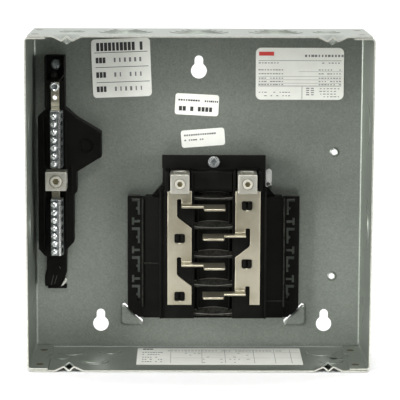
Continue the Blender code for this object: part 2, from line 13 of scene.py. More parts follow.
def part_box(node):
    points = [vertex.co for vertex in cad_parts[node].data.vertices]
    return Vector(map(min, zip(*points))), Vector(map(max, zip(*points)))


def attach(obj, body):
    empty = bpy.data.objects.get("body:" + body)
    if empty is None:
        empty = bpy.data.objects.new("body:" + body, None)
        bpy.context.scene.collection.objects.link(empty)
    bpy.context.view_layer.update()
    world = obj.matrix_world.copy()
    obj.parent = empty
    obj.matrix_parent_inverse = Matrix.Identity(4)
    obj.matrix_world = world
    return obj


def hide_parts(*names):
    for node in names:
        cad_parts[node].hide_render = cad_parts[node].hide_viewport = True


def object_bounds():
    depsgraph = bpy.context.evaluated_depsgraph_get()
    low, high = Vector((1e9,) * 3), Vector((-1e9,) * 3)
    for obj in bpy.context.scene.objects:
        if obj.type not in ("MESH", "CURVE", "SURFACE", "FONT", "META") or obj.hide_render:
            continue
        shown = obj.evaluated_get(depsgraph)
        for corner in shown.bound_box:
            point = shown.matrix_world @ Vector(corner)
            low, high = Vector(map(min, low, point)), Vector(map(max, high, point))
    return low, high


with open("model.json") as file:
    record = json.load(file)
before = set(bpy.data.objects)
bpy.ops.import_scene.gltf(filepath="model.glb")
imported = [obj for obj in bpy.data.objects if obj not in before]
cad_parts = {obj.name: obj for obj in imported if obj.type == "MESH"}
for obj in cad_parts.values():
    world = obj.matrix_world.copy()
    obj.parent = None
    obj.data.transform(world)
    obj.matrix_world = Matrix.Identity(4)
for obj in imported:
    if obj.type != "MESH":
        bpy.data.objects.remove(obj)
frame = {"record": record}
cad_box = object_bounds()

# --- Studio -----------------------------------------------------------------------------------
# A pale floor that turns up into a pale wall, softboxes overhead, in front and at both sides, and
# one that clears the wall behind the box. The camera looks down on the open front.

floor_z = cad_box[0][2] - 0.0005

sweep_profile = [(-0.55, 0.0), (1.2, 0.0)]
sweep_profile += [(1.2 + 0.8 * math.sin(t), 0.8 - 0.8 * math.cos(t)) for t in (0.4, 0.8, 1.2)]
sweep_profile += [(2.0, 0.8), (2.0, 3.5)]
sweep_mesh = bpy.data.meshes.new("studio_sweep")
sweep_points = [(x, y, floor_z + z) for y, z in sweep_profile for x in (-4.0, 4.0)]
sweep_faces = [(2 * i, 2 * i + 1, 2 * i + 3, 2 * i + 2) for i in range(len(sweep_profile) - 1)]
sweep_mesh.from_pydata(sweep_points, [], sweep_faces)
sweep_mesh.shade_smooth()
sweep = bpy.data.objects.new("studio_sweep", sweep_mesh)
bpy.context.scene.collection.objects.link(sweep)
sweep_paint = bpy.data.materials.new("pale_floor")
sweep_paint.use_nodes = True
sweep_shader = sweep_paint.node_tree.nodes["Principled BSDF"]
sweep_shader.inputs["Base Color"].default_value = (0.93, 0.93, 0.93, 1.0)
sweep_shader.inputs["Roughness"].default_value = 0.95
sweep_shader.inputs["Specular IOR Level"].default_value = 0.1
sweep_mesh.materials.append(sweep_paint)

world = bpy.data.worlds.new("studio_air")
world.use_nodes = True
world.node_tree.nodes["Background"].inputs["Color"].default_value = (1.0, 1.0, 1.0, 1.0)
world.node_tree.nodes["Background"].inputs["Strength"].default_value = 0.02
bpy.context.scene.world = world
bpy.context.scene.view_settings.view_transform = "Standard"


def softbox(name, place, target, size, watts, angle=90):
    """A softbox with a grid that keeps its light within an angle."""
    lamp = bpy.data.lights.new(name, "AREA")
    lamp.spread = math.radians(angle)
    lamp.shape = "RECTANGLE"
    lamp.size = size[0]
    lamp.size_y = size[1]
    lamp.energy = watts
    obj = bpy.data.objects.new(name, lamp)
    obj.location = place
    obj.rotation_euler = (Vector(target) - Vector(place)).to_track_quat("-Z", "Y").to_euler()
    obj.visible_camera = False
    bpy.context.scene.collection.objects.link(obj)


softbox("overhead_softbox", (0.0, -0.35, 1.0), (0.0, -0.05, 0.0), (1.2, 0.4), 2.0)
softbox("front_softbox", (0.0, -1.9, 1.3), (0.0, 0.0, 0.0), (0.8, 0.4), 1.9, 60)
softbox("left_softbox", (-1.5, -1.2, 0.25), (0.0, 0.0, 0.0), (0.6, 0.9), 10.8)
softbox("right_softbox", (1.6, -1.2, 0.25), (0.0, 0.0, 0.0), (0.6, 0.9), 6.2)
softbox("back_light", (0.0, 0.5, 2.6), (0.0, 1.8, 0.4), (3.0, 0.6), 80.0, 180)

camera_data = bpy.data.cameras.new("front_camera")
camera_data.lens = 180.4
camera_data.sensor_width = 36.0
camera = bpy.data.objects.new("front_camera", camera_data)
camera.location = (-0.01543, -1.73349, 0.26413)
camera.rotation_euler = (math.radians(81.055), math.radians(-0.206), math.radians(-0.524))
bpy.context.scene.collection.objects.link(camera)
bpy.context.scene.camera = camera

# --- Enclosure pan ----------------------------------------------------------------------------
# Back wall, side walls and end flanges folded from one sheet of hot-dip galvanised steel,
# punched with keyholes and extruded screw holes, and lanced to make two pockets for the base's
# corners and a hook for the neutral insulator.

mm = 0.001
sheet = 1.3 * mm
bend_r = 2.4 * mm
wall_bend_r = 3.4 * mm
flange_width = 17.3 * mm
flange_notch_r = 12.0 * mm
extruded_hole_r = 2.5 * mm
bonding_hole_r = 3.0 * mm
extruded_holes = ((117.3 * mm, -76.0 * mm), (118.3 * mm, 34.0 * mm))
bonding_hole = (-124.8 * mm, 81.2 * mm)
pockets = ((-1, (-67.9 * mm, -119.7 * mm)), (1, (94.6 * mm, -119.7 * mm)))
pocket_size = 18.6 * mm
pocket_rise = 4.3 * mm
pocket_rim = 3.4 * mm
pocket_toe = 3.6 * mm
pan_low, pan_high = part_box("enclosure_pan")
openings = {entry["name"]: entry["box_m"] for entry in frame["record"]["physics"]["openings"]}


def link(name, mesh):
    """A new object in the scene, at the origin."""
    obj = bpy.data.objects.new(name, mesh)
    bpy.context.scene.collection.objects.link(obj)
    return obj


def built(name, bm):
    """The object of a finished bmesh, which is then freed."""
    mesh = bpy.data.meshes.new(name)
    bm.to_mesh(mesh)
    bm.free()
    return link(name, mesh)


def settled(obj, fold=20):
    """The evaluated shape as a plain mesh at the origin, smooth except at its folds."""
    bpy.context.view_layer.update()
    evaluated = obj.evaluated_get(bpy.context.evaluated_depsgraph_get())
    mesh = bpy.data.meshes.new_from_object(evaluated)
    mesh.transform(obj.matrix_world)
    bm = bmesh.new()
    bm.from_mesh(mesh)
    bmesh.ops.remove_doubles(bm, verts=bm.verts, dist=1e-7)
    bm.to_mesh(mesh)
    bm.free()
    name = obj.name
    bpy.data.objects.remove(obj)
    mesh.shade_smooth()
    mesh.set_sharp_from_angle(angle=math.radians(fold))
    return link(name, mesh)


def joined(name, pieces):
    """One object of several plain ones, each keeping its own material."""
    with bpy.context.temp_override(
        active_object=pieces[0], object=pieces[0], selected_editable_objects=pieces
    ):
        bpy.ops.object.join()
    pieces[0].name = name
    return pieces[0]


def arc(middle, radius, start, end, steps):
    """Points on an arc, in degrees."""
    turns = [math.radians(start + (end - start) * i / steps) for i in range(steps + 1)]
    return [(middle[0] + radius * math.cos(t), middle[1] + radius * math.sin(t)) for t in turns]


def rounded(low, high, radius, steps=4):
    """A rectangle with round corners, from its low and high corners."""
    (x0, z0), (x1, z1) = low, high
    corners = ((x1, z1, 0), (x0, z1, 90), (x0, z0, 180), (x1, z0, 270))
    outline = []
    for x, z, start in corners:
        sx = -1 if x == x1 else 1
        sz = -1 if z == z1 else 1
        outline += arc((x + sx * radius, z + sz * radius), radius, start, start + 90, steps)
    return outline


def circle(middle, radius, steps=24):
    """A closed round outline."""
    return arc(middle, radius, 0, 360 * (steps - 1) / steps, steps - 1)


FACING = {
    "X": Matrix(((0, 0, 1), (1, 0, 0), (0, 1, 0))),
    "Y": Matrix(((1, 0, 0), (0, 0, -1), (0, 1, 0))),
    "Z": Matrix.Identity(3),
}


def cut_plate(name, outlines, low, high, bevel=0.0, axis="Y"):
    """Flat outlines with their holes, thickened from low to high along an axis."""
    curve = bpy.data.curves.new(name, "CURVE")
    curve.dimensions = "2D"
    curve.fill_mode = "BOTH"
    curve.extrude = (high - low) / 2 - bevel
    curve.bevel_depth = bevel
    curve.bevel_resolution = 1
    curve.offset = -bevel
    for outline in outlines:
        spline = curve.splines.new("POLY")
        spline.points.add(len(outline) - 1)
        for point, (a, b) in zip(spline.points, outline):
            point.co = (a, b, 0.0, 1.0)
        spline.use_cyclic_u = True
    obj = link(name, curve)
    turn = FACING[axis].to_4x4()
    middle = {"X": (1, 0, 0), "Y": (0, 1, 0), "Z": (0, 0, 1)}[axis]
    obj.matrix_world = Matrix.Translation(Vector(middle) * (low + high) / 2) @ turn
    return settled(obj)


def filleted(points, radius, steps=5):
    """A path of straight runs joined by bends of one radius."""
    path = [Vector(points[0])]
    for before, corner, after in zip(points, points[1:], points[2:]):
        corner = Vector(corner)
        back = (Vector(before) - corner).normalized()
        ahead = (Vector(after) - corner).normalized()
        half = back.angle(ahead) / 2
        reach = radius / math.tan(half)
        middle = corner + (back + ahead).normalized() * radius / math.sin(half)
        first = corner + back * reach - middle
        last = corner + ahead * reach - middle
        for i in range(steps + 1):
            path.append(middle + first.slerp(last, i / steps) * radius)
    path.append(Vector(points[-1]))
    return path


def folded_sheet(name, points, radius, thickness, low, high, axis):
    """A sheet folded along a path and running from low to high along an axis."""
    path = filleted(points, radius)
    sides = []
    for i, point in enumerate(path):
        ahead = path[min(i + 1, len(path) - 1)] - path[max(i - 1, 0)]
        normal = Vector((-ahead.y, ahead.x)).normalized() * thickness / 2
        sides.append((point + normal, point - normal))
    outline = [tuple(a) for a, b in sides] + [tuple(b) for a, b in reversed(sides)]
    return cut_plate(name, [outline], low, high, 0.12 * mm, axis)


def cut_with(obj, tools):
    """Cut the tools out of a plain mesh."""
    for tool in tools:
        modifier = obj.modifiers.new("cut", "BOOLEAN")
        modifier.operation = "DIFFERENCE"
        modifier.object = tool
    result = settled(obj)
    for tool in tools:
        bpy.data.objects.remove(tool)
    return result


def soft_block(name, low, high, bevel=0.4 * mm, segments=2):
    """A block with rounded edges, from its low and high corners."""
    bm = bmesh.new()
    bmesh.ops.create_cube(bm, size=1.0)
    size = [b - a for a, b in zip(low, high)]
    bmesh.ops.scale(bm, vec=size, verts=bm.verts)
    bmesh.ops.translate(bm, vec=[(a + b) / 2 for a, b in zip(low, high)], verts=bm.verts)
    bmesh.ops.bevel(
        bm, geom=list(bm.edges), offset=bevel, segments=segments, profile=0.5, affect="EDGES"
    )
    block = built(name, bm)
    block.data.shade_smooth()
    block.data.set_sharp_from_angle(angle=math.radians(35))
    return block


def node_group_grain():
    """Two scales of surface variation: fine grain and broad blotches, stretched as asked."""
    group = bpy.data.node_groups.new("grain_and_blotch", "ShaderNodeTree")
    for label, kind, value in (
        ("Grain Scale", "NodeSocketFloat", 900.0),
        ("Blotch Scale", "NodeSocketFloat", 40.0),
        ("Stretch", "NodeSocketVector", (1.0, 1.0, 1.0)),
    ):
        socket = group.interface.new_socket(label, in_out="INPUT", socket_type=kind)
        socket.default_value = value
    for label in ("Grain", "Blotch"):
        group.interface.new_socket(label, in_out="OUTPUT", socket_type="NodeSocketFloat")
    nodes, links = group.nodes, group.links
    entry = nodes.new("NodeGroupInput")
    leave = nodes.new("NodeGroupOutput")
    place = nodes.new("ShaderNodeTexCoord")
    stretch = nodes.new("ShaderNodeVectorMath")
    stretch.operation = "MULTIPLY"
    links.new(place.outputs["Object"], stretch.inputs[0])
    links.new(entry.outputs["Stretch"], stretch.inputs[1])
    for source, target in (("Grain Scale", "Grain"), ("Blotch Scale", "Blotch")):
        noise = nodes.new("ShaderNodeTexNoise")
        noise.inputs["Detail"].default_value = 4.0
        noise.inputs["Roughness"].default_value = 0.6
        links.new(stretch.outputs["Vector"], noise.inputs["Vector"])
        links.new(entry.outputs[source], noise.inputs["Scale"])
        links.new(noise.outputs["Fac"], leave.inputs[target])
    return group


grain_group = node_group_grain()


def blend_colours(nodes, links, factor, dark, light):
    """Two colours mixed by a mask."""
    mix = nodes.new("ShaderNodeMix")
    mix.data_type = "RGBA"
    mix.inputs["A"].default_value = (*dark, 1.0)
    mix.inputs["B"].default_value = (*light, 1.0)
    links.new(factor, mix.inputs["Factor"])
    return mix.outputs["Result"]


def spread(nodes, links, source, low, high, start=0.3, end=0.7):
    """Stretch a mask from its useful middle range to the values low and high."""
    ramp = nodes.new("ShaderNodeMapRange")
    ramp.inputs["From Min"].default_value = start
    ramp.inputs["From Max"].default_value = end
    ramp.inputs["To Min"].default_value = low
    ramp.inputs["To Max"].default_value = high
    links.new(source, ramp.inputs["Value"])
    return ramp.outputs["Result"]


def finish(name, dark, light, roughness, metallic, grain, blotch, bump, stretch=(1, 1, 1), **extra):
    """A surface of one substance: colour by blotches, gloss and relief by grain."""
    material = bpy.data.materials.new(name)
    material.use_nodes = True
    nodes, links = material.node_tree.nodes, material.node_tree.links
    shader = nodes["Principled BSDF"]
    shader.inputs["Metallic"].default_value = metallic
    for socket, value in extra.items():
        shader.inputs[socket.replace("_", " ")].default_value = value
    marks = nodes.new("ShaderNodeGroup")
    marks.node_tree = grain_group
    marks.inputs["Grain Scale"].default_value = grain
    marks.inputs["Blotch Scale"].default_value = blotch
    marks.inputs["Stretch"].default_value = stretch
    tint = spread(nodes, links, marks.outputs["Blotch"], 0.0, 1.0)
    links.new(blend_colours(nodes, links, tint, dark, light), shader.inputs["Base Color"])
    gloss = spread(nodes, links, marks.outputs["Grain"], *roughness)
    links.new(gloss, shader.inputs["Roughness"])
    relief = nodes.new("ShaderNodeBump")
    relief.inputs["Strength"].default_value = bump
    relief.inputs["Distance"].default_value = 0.1 * mm
    links.new(marks.outputs["Grain"], relief.inputs["Height"])
    links.new(relief.outputs["Normal"], shader.inputs["Normal"])
    return material


def galvanised_finish():
    """Zinc coating: small faint spangles, broad blotches, handling scuffs."""
    material = finish(
        "galvanised_zinc", (0.21, 0.232, 0.2), (0.24, 0.262, 0.23), (0.34, 0.44), 0.6,
        grain=1500.0, blotch=14.0, bump=0.08,
    )
    nodes, links = material.node_tree.nodes, material.node_tree.links
    shader = nodes["Principled BSDF"]
    base = shader.inputs["Base Color"].links[0].from_socket
    place = nodes.new("ShaderNodeTexCoord")
    cells = nodes.new("ShaderNodeTexVoronoi")
    cells.inputs["Scale"].default_value = 420.0
    links.new(place.outputs["Object"], cells.inputs["Vector"])
    flake = nodes.new("ShaderNodeSeparateColor")
    links.new(cells.outputs["Color"], flake.inputs["Color"])
    speckle = nodes.new("ShaderNodeTexNoise")
    speckle.inputs["Scale"].default_value = 650.0
    speckle.inputs["Detail"].default_value = 3.0
    links.new(place.outputs["Object"], speckle.inputs["Vector"])
    brighten = nodes.new("ShaderNodeMath")
    brighten.operation = "MULTIPLY"
    links.new(spread(nodes, links, flake.outputs["Red"], 0.96, 1.04, 0.0, 1.0), brighten.inputs[0])
    links.new(spread(nodes, links, speckle.outputs["Fac"], 0.86, 1.14), brighten.inputs[1])
    scale = nodes.new("ShaderNodeVectorMath")
    scale.operation = "SCALE"
    links.new(base, scale.inputs[0])
    links.new(brighten.outputs["Value"], scale.inputs["Scale"])
    links.new(scale.outputs["Vector"], shader.inputs["Base Color"])
    return material


galvanised = galvanised_finish()
# A brighter zinc for sheet edges: partly the raw sheared edge's own tone, partly a painted highlight
# where edges catch the light.
edge_and_painted_highlight = finish(
    "sheared_zinc_edge_and_painted_highlight", (0.5, 0.51, 0.45), (0.7, 0.7, 0.63), (0.3, 0.5), 0.75,
    grain=2500.0, blotch=500.0, bump=0.3,
)
# A dark zinc for shear slopes that face away from the front: painted shadow.
shear_painted_shadow = finish(
    "shear_shadow_side", (0.06, 0.064, 0.056), (0.12, 0.13, 0.11), (0.4, 0.6), 0.6,
    grain=2500.0, blotch=500.0, bump=0.3,
)
weld_burn = finish(
    "weld_burn", (0.05, 0.035, 0.02), (0.13, 0.1, 0.065), (0.5, 0.75), 0.4,
    grain=2500.0, blotch=700.0, bump=0.3,
)


def paint_edges(obj, plane_y, edge_material):
    """Give the faces of a sheet's sheared front edge their own brighter material: the raw edge's tone and
    a painted highlight.
    """
    obj.data.materials.append(edge_material)
    for face in obj.data.polygons:
        if face.normal.y < -0.85 and face.center.y < plane_y + 0.6 * mm:
            face.material_index = len(obj.data.materials) - 1


def coat(obj, material):
    """Give a piece one material all over."""
    obj.data.materials.clear()
    obj.data.materials.append(material)
    return obj


def keyhole_outline(name):
    """A keyhole from its stated openings: a round head and a round-ended slot above it."""
    head_low, head_high = openings[name + "_keyhole_head"]
    x = (head_low[0] + head_high[0]) / 2
    z = (head_low[2] + head_high[2]) / 2
    head_r, slot_r, reach = 6.8 * mm, 3.7 * mm, 13.2 * mm
    meet = math.degrees(math.acos(slot_r / head_r))
    outline = arc((x, z), head_r, 180 - meet, 360 + meet, 28)
    return outline + arc((x, z + reach - slot_r), slot_r, 0, 180, 12)


def pocket_outline(side, corner):
    """A lanced pocket: square outer corner with a round bend, cut off along a diagonal."""
    x, z = corner
    inner = x - side * pocket_size
    bend = 4.0 * mm
    swing = (270, 180) if side < 0 else (270, 360)
    outline = [(inner, z)] + arc((x - side * bend, z + bend), bend, *swing, 8)
    outline += [(x, z + pocket_size), (x - side * pocket_rim, z + pocket_size)]
    return outline + [(inner, z + pocket_toe)]


def pocket_hollow(side, corner):
    """The opening under a pocket's lip, reaching just past its sheared diagonal."""
    x, z = corner
    inner = x - side * pocket_size
    reach = 0.6 * mm
    return [
        (inner, z + sheet),
        (x - side * sheet, z + sheet),
        (x - side * sheet, z + pocket_size),
        (x - side * pocket_rim, z + pocket_size + reach),
        (inner - side * reach, z + pocket_toe + reach),
    ]


def make_pan_body():
    """The folded back and sides, with everything that is punched through the back."""
    x0, x1 = pan_low.x + sheet / 2, pan_high.x - sheet / 2
    y0, y1 = pan_low.y, pan_high.y - sheet / 2
    top = pan_high.z - bend_r
    path = [(x0, y0), (x0, y1), (x1, y1), (x1, y0)]
    body = folded_sheet("pan_body", path, wall_bend_r, sheet, -top, top, "Z")
    punches = [keyhole_outline(name) for name in ("top", "lower_left", "lower_right")]
    punches += [circle(middle, extruded_hole_r) for middle in extruded_holes]
    punches.append(circle(bonding_hole, bonding_hole_r))
    punches += [pocket_hollow(side, corner) for side, corner in pockets]
    return cut_with(body, [cut_plate("punch", [cut], -5 * mm, 3 * mm) for cut in punches])


def make_pocket(side, corner):
    """The raised lip over a corner of the base, drawn up out of the sheet with a soft shoulder."""
    back = pan_high.y - sheet
    lip = cut_plate(
        "pocket", [pocket_outline(side, corner)], back - pocket_rise, back + 0.2 * mm, 1.7 * mm
    )
    hollow = cut_plate("hollow", [pocket_hollow(side, corner)], back - 3.0 * mm, 3 * mm)
    lip = coat(cut_with(lip, [hollow]), galvanised)
    lip.data.materials.append(edge_and_painted_highlight)
    # Faces turned up and in, along the sheared diagonal, get the bright edge material: a painted
    # highlight where that edge catches the light.
    shear = Vector((-side * 0.7, 0.0, 0.7))
    for face in lip.data.polygons:
        face.material_index = 1 if face.normal.dot(shear) > 0.8 else 0
    return lip


def make_flange(side, end):
    """An end flange turned in from a side wall, notched for the knockout beside it."""
    x_wall = side * (pan_high.x - sheet / 2)
    z_wall = end * (pan_high.z - sheet / 2)
    x_tip = side * (pan_high.x - flange_width)
    path = [(x_wall, z_wall - end * 7 * mm), (x_wall, z_wall), (x_tip, z_wall)]
    curve = folded_sheet("flange", path, bend_r, sheet, pan_low.y + 0.4 * mm, -2.5 * mm, "Y")
    notch_x = side * (pan_high.x - 25.0 * mm)
    tool = cut_plate(
        "notch", [circle((notch_x, -40.5 * mm), flange_notch_r)],
        z_wall - 4 * mm, z_wall + 4 * mm, 0.0, "Z",
    )
    return cut_with(curve, [tool])


def turned_piece(name, profile, place, steps=40, fold=30):
    """A turned piece facing forward; profile points are (radius, forward), in millimetres."""
    bm = bmesh.new()
    ring = [bm.verts.new((r * mm, 0.0, out * mm)) for r, out in profile]
    edges = [bm.edges.new(pair) for pair in zip(ring, ring[1:])]
    bmesh.ops.spin(
        bm, geom=ring + edges, cent=(0, 0, 0), axis=(0, 0, 1), angle=math.tau, steps=steps
    )
    bmesh.ops.remove_doubles(bm, verts=bm.verts, dist=1e-7)
    bmesh.ops.recalc_face_normals(bm, faces=bm.faces)
    obj = built(name, bm)
    obj.matrix_world = Matrix.Translation(place) @ FACING["Y"].to_4x4()
    return settled(obj, fold)


def make_collar(x, z):
    """The rolled rim that the punch leaves round an extruded screw hole."""
    profile = [
        (2.5, 1.2), (2.5, 2.2), (3.0, 2.5), (3.6, 2.2), (4.4, 1.35), (4.4, 1.2), (2.5, 1.2),
    ]
    return turned_piece("collar", profile, (x, 0.0, z), 32, 20)


pan_pieces = [make_pan_body()]
pan_pieces += [make_flange(side, end) for side in (-1, 1) for end in (-1, 1)]
pan_pieces += [make_collar(x, z) for x, z in extruded_holes]
for end in (-1, 1):
    strip_z = sorted((end * (pan_high.z - bend_r - 0.4 * mm), end * pan_high.z))
    strip_low = (pan_low.x + 1.5 * mm, -sheet, strip_z[0])
    strip_high = (pan_high.x - 1.5 * mm, 0.0, strip_z[1])
    pan_pieces.append(soft_block("back_edge", strip_low, strip_high, 0.2 * mm, 1))


def in_mm(points):
    """An outline that is given in millimetres."""
    return [(a * mm, b * mm) for a, b in points]


hook_outline = in_mm([
    (-115.9, -75.7), (-114.7, -77.4), (-115.4, -79.6), (-117.6, -81.9), (-120.1, -83.4),
    (-118.7, -80.5), (-116.9, -77.8),
])
hook = cut_plate("hook", [hook_outline], -14.0 * mm, -12.6 * mm, 0.2 * mm)
leg_low, leg_high = (-117.4 * mm, -12.8 * mm, -80.4 * mm), (-116.0 * mm, -1.0 * mm, -77.4 * mm)
pan_pieces += [hook, soft_block("hook_leg", leg_low, leg_high, 0.3 * mm, 1)]
for piece in pan_pieces:
    coat(piece, galvanised)
    paint_edges(piece, pan_low.y, edge_and_painted_highlight)
# The hook is coated all over in the bright edge material, a painted highlight on the lanced hook.
coat(hook, edge_and_painted_highlight)
pan_pieces += [make_pocket(side, corner) for side, corner in pockets]
pan = joined("folded_pan", pan_pieces)
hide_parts("enclosure_pan")
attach(pan, "box")

# --- End walls --------------------------------------------------------------------------------
# Two plates of the same galvanised sheet, lapped over the pan's flanges and spot-welded at the
# corners. Their front edges dip and are lanced to make the cover-screw loops. They carry
# half-sheared knockouts, and so do the side walls.

tab_x = 109.2 * mm
tab_half = 12.0 * mm
tab_neck = 4.4 * mm
tab_drop = 3.6 * mm
tab_crown = 7.3 * mm
strip_depth = 4.4 * mm
dimple_depth = 19.0 * mm
wall_inset = 2.4 * mm


def tab_dip(offset):
    """How far the wall's edge dips at a distance from a tab's middle."""
    offset = abs(offset)
    if offset >= tab_half:
        return 0.0
    if offset >= tab_neck:
        return tab_drop * (tab_half - offset) / (tab_half - tab_neck)
    return tab_crown - (tab_crown - tab_drop) * offset / tab_neck


def fade(distance, length):
    """1 at the front edge, easing to 0 at the given depth."""
    t = min(max(distance / length, 0.0), 1.0)
    return 1.0 - t * t * (3.0 - 2.0 * t)


def sheet_grid(name, xs, ys, height, keep=lambda x, y: True):
    """A surface over a grid of x and y, thickened by the sheet."""
    bm = bmesh.new()
    rows = [[bm.verts.new((x, y, height(x, y))) for x in xs] for y in ys]
    for j in range(len(ys) - 1):
        for i in range(len(xs) - 1):
            if keep((xs[i] + xs[i + 1]) / 2, (ys[j] + ys[j + 1]) / 2):
                bm.faces.new((rows[j][i], rows[j][i + 1], rows[j + 1][i + 1], rows[j + 1][i]))
    loose = [vert for vert in bm.verts if not vert.link_faces]
    bmesh.ops.delete(bm, geom=loose, context="VERTS")
    obj = built(name, bm)
    solid = obj.modifiers.new("gauge", "SOLIDIFY")
    solid.thickness = sheet
    solid.offset = 0.0
    return settled(obj, 25)


def make_end_plate(end):
    """The plate itself: flat, with two dips and their lanced strips at the front."""
    y_front = pan_low.y
    level = end * (cad_box[1][2] - sheet / 2)
    limit = cad_box[1][0] - wall_inset
    xs = [limit * i / 12 for i in range(-12, 13)]
    for side in (-1, 1):
        xs += [side * tab_x + tab_half * i / 14 for i in range(-15, 16)]
        xs += [side * tab_x + tab_neck * i / 8 for i in range(-8, 9)]
    xs = sorted(set(round(x, 6) for x in xs if abs(x) <= limit))
    ys = [y_front, y_front + strip_depth]
    ys += [y_front + strip_depth + 1.5 * mm * i for i in range(1, 11)]
    ys += [-60 * mm, -40 * mm, -20 * mm, 0.0]

    def near(x):
        return min(x - tab_x, x + tab_x, key=abs)

    def height(x, y):
        return level - end * tab_dip(near(x)) * fade(y - y_front, dimple_depth)

    def keep(x, y):
        return not (abs(near(x)) < tab_neck and y < y_front + strip_depth)

    plates = [sheet_grid("end_plate", xs, ys, height, keep)]
    for side in (-1, 1):
        strip_x = [side * tab_x + tab_neck * i / 10 for i in range(-10, 11)]

        def loop(x, y):
            return level - end * tab_drop * abs(x - side * tab_x) / tab_neck

        strip_y = [y_front, y_front + strip_depth - 0.5 * mm]
        plates.append(sheet_grid("lanced_strip", strip_x, strip_y, loop))
    for plate in plates:
        coat(plate, galvanised)
        paint_edges(plate, y_front, edge_and_painted_highlight)
    return plates


def socket_of(tree, label):
    """The identifier of a tree's named input."""
    for item in tree.interface.items_tree:
        if item.item_type == "SOCKET" and item.in_out == "INPUT" and item.name == label:
            return item.identifier
    raise KeyError(label)


def geometry_tree(name, inputs):
    """An empty geometry tree with named inputs, and its entry and exit nodes."""
    tree = bpy.data.node_groups.new(name, "GeometryNodeTree")
    for label, kind, value in inputs:
        socket = tree.interface.new_socket(label, in_out="INPUT", socket_type=kind)
        if value is not None:
            socket.default_value = value
    tree.interface.new_socket("Geometry", in_out="OUTPUT", socket_type="NodeSocketGeometry")
    return tree, tree.nodes.new("NodeGroupInput"), tree.nodes.new("NodeGroupOutput")


def grow(name, tree, values, fold=35):
    """Run a geometry tree on an empty object with these named values, as a plain mesh."""
    obj = link(name, bpy.data.meshes.new(name))
    modifier = obj.modifiers.new("grow", "NODES")
    modifier.node_group = tree
    for label, value in values.items():
        modifier[socket_of(tree, label)] = value
    return settled(obj, fold)


def wire(tree, pairs):
    """Link each output socket to its input."""
    for source, target in pairs:
        tree.links.new(source, target)


def knockout_tree():
    """A half-sheared disc: a low round step with a sloping shear edge."""
    tree, entry, leave = geometry_tree(
        "half_sheared_disc",
        (
            ("Radius", "NodeSocketFloat", 10 * mm),
            ("Rise", "NodeSocketFloat", 0.3 * mm),
            ("Shear", "NodeSocketFloat", 0.5 * mm),
            ("Place", "NodeSocketVector", (0, 0, 0)),
            ("Turn", "NodeSocketVector", (0, 0, 0)),
            ("Zinc", "NodeSocketMaterial", None),
        ),
    )
    disc = tree.nodes.new("GeometryNodeMeshCone")
    disc.inputs["Vertices"].default_value = 48
    crown = tree.nodes.new("ShaderNodeMath")
    crown.operation = "SUBTRACT"
    move = tree.nodes.new("GeometryNodeTransform")
    paint = tree.nodes.new("GeometryNodeSetMaterial")
    real = tree.nodes.new("GeometryNodeRealizeInstances")
    wire(tree, (
        (entry.outputs["Radius"], disc.inputs["Radius Bottom"]),
        (entry.outputs["Radius"], crown.inputs[0]),
        (entry.outputs["Shear"], crown.inputs[1]),
        (crown.outputs["Value"], disc.inputs["Radius Top"]),
        (entry.outputs["Rise"], disc.inputs["Depth"]),
        (disc.outputs["Mesh"], move.inputs["Geometry"]),
        (entry.outputs["Place"], move.inputs["Translation"]),
        (entry.outputs["Turn"], move.inputs["Rotation"]),
        (move.outputs["Geometry"], real.inputs["Geometry"]),
        (real.outputs["Geometry"], paint.inputs["Geometry"]),
        (entry.outputs["Zinc"], paint.inputs["Material"]),
        (paint.outputs["Geometry"], leave.inputs["Geometry"]),
    ))
    return tree


knockouts = knockout_tree()
step_rise = 0.55 * mm


def knockout(place, radii, turn=(0.0, 0.0, 0.0)):
    """Concentric half-shears, each standing a step above the one round it."""
    discs = []
    for i, radius in enumerate(radii):
        values = {"Radius": radius, "Rise": step_rise * (i + 1), "Place": place, "Turn": turn}
        disc = grow("knockout", knockouts, {**values, "Zinc": galvanised})
        disc.data.materials.append(edge_and_painted_highlight)
        disc.data.materials.append(shear_painted_shadow)
        # Slopes facing the front get the bright edge material as a painted highlight, and slopes facing
        # back get the dark one as a painted shadow.
        for face in disc.data.polygons:
            if abs(face.normal.y) > 0.3:
                face.material_index = 1 if face.normal.y < 0 else 2
        discs.append(disc)
    return discs


def weld_spot(x, y, z):
    """A burnt spot weld: a low round nugget."""
    values = {"Radius": 3.3 * mm, "Rise": 0.1 * mm, "Shear": 1.2 * mm, "Place": (x, y, z)}
    return grow("weld_spot", knockouts, {**values, "Zinc": weld_burn})


top_z = cad_box[1][2]
top_pieces = make_end_plate(1)
for x, radii in (
    (-62.2, (23.2, 18.5, 14.2, 10.8)),
    (-0.4, (25.3, 20.5, 15.5, 11.0)),
    (64.4, (23.3, 18.5, 14.2, 10.8)),
    (-107.0, (11.0, 8.0)),
    (107.2, (12.0, 8.6)),
):
    top_pieces += knockout((x * mm, -41.5 * mm, top_z), [r * mm for r in radii])
for x in (-136.4, 135.0):
    for y in (-20.5, -69.5):
        top_pieces.append(weld_spot(x * mm, y * mm, top_z))
top_wall = joined("top_wall", top_pieces)
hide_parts("top_end_wall")
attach(top_wall, "box")

floor_of_box = cad_box[0][2] + sheet
bottom_pieces = make_end_plate(-1)
for x, y, radii in (
    (-109.6, -21.1, (13.8,)),
    (-76.8, -19.8, (10.3,)),
    (-89.4, -55.3, (12.6, 10.2)),
    (108.2, -22.0, (13.8,)),
    (113.6, -54.4, (10.8,)),
):
    bottom_pieces += knockout((x * mm, y * mm, floor_of_box), [r * mm for r in radii])
for x in (-117.5, 117.9):
    bottom_pieces += knockout((x * mm, -42.5 * mm, floor_of_box), [7.5 * mm])
bottom_wall = joined("bottom_wall", bottom_pieces)
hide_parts("bottom_end_wall")
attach(bottom_wall, "box")

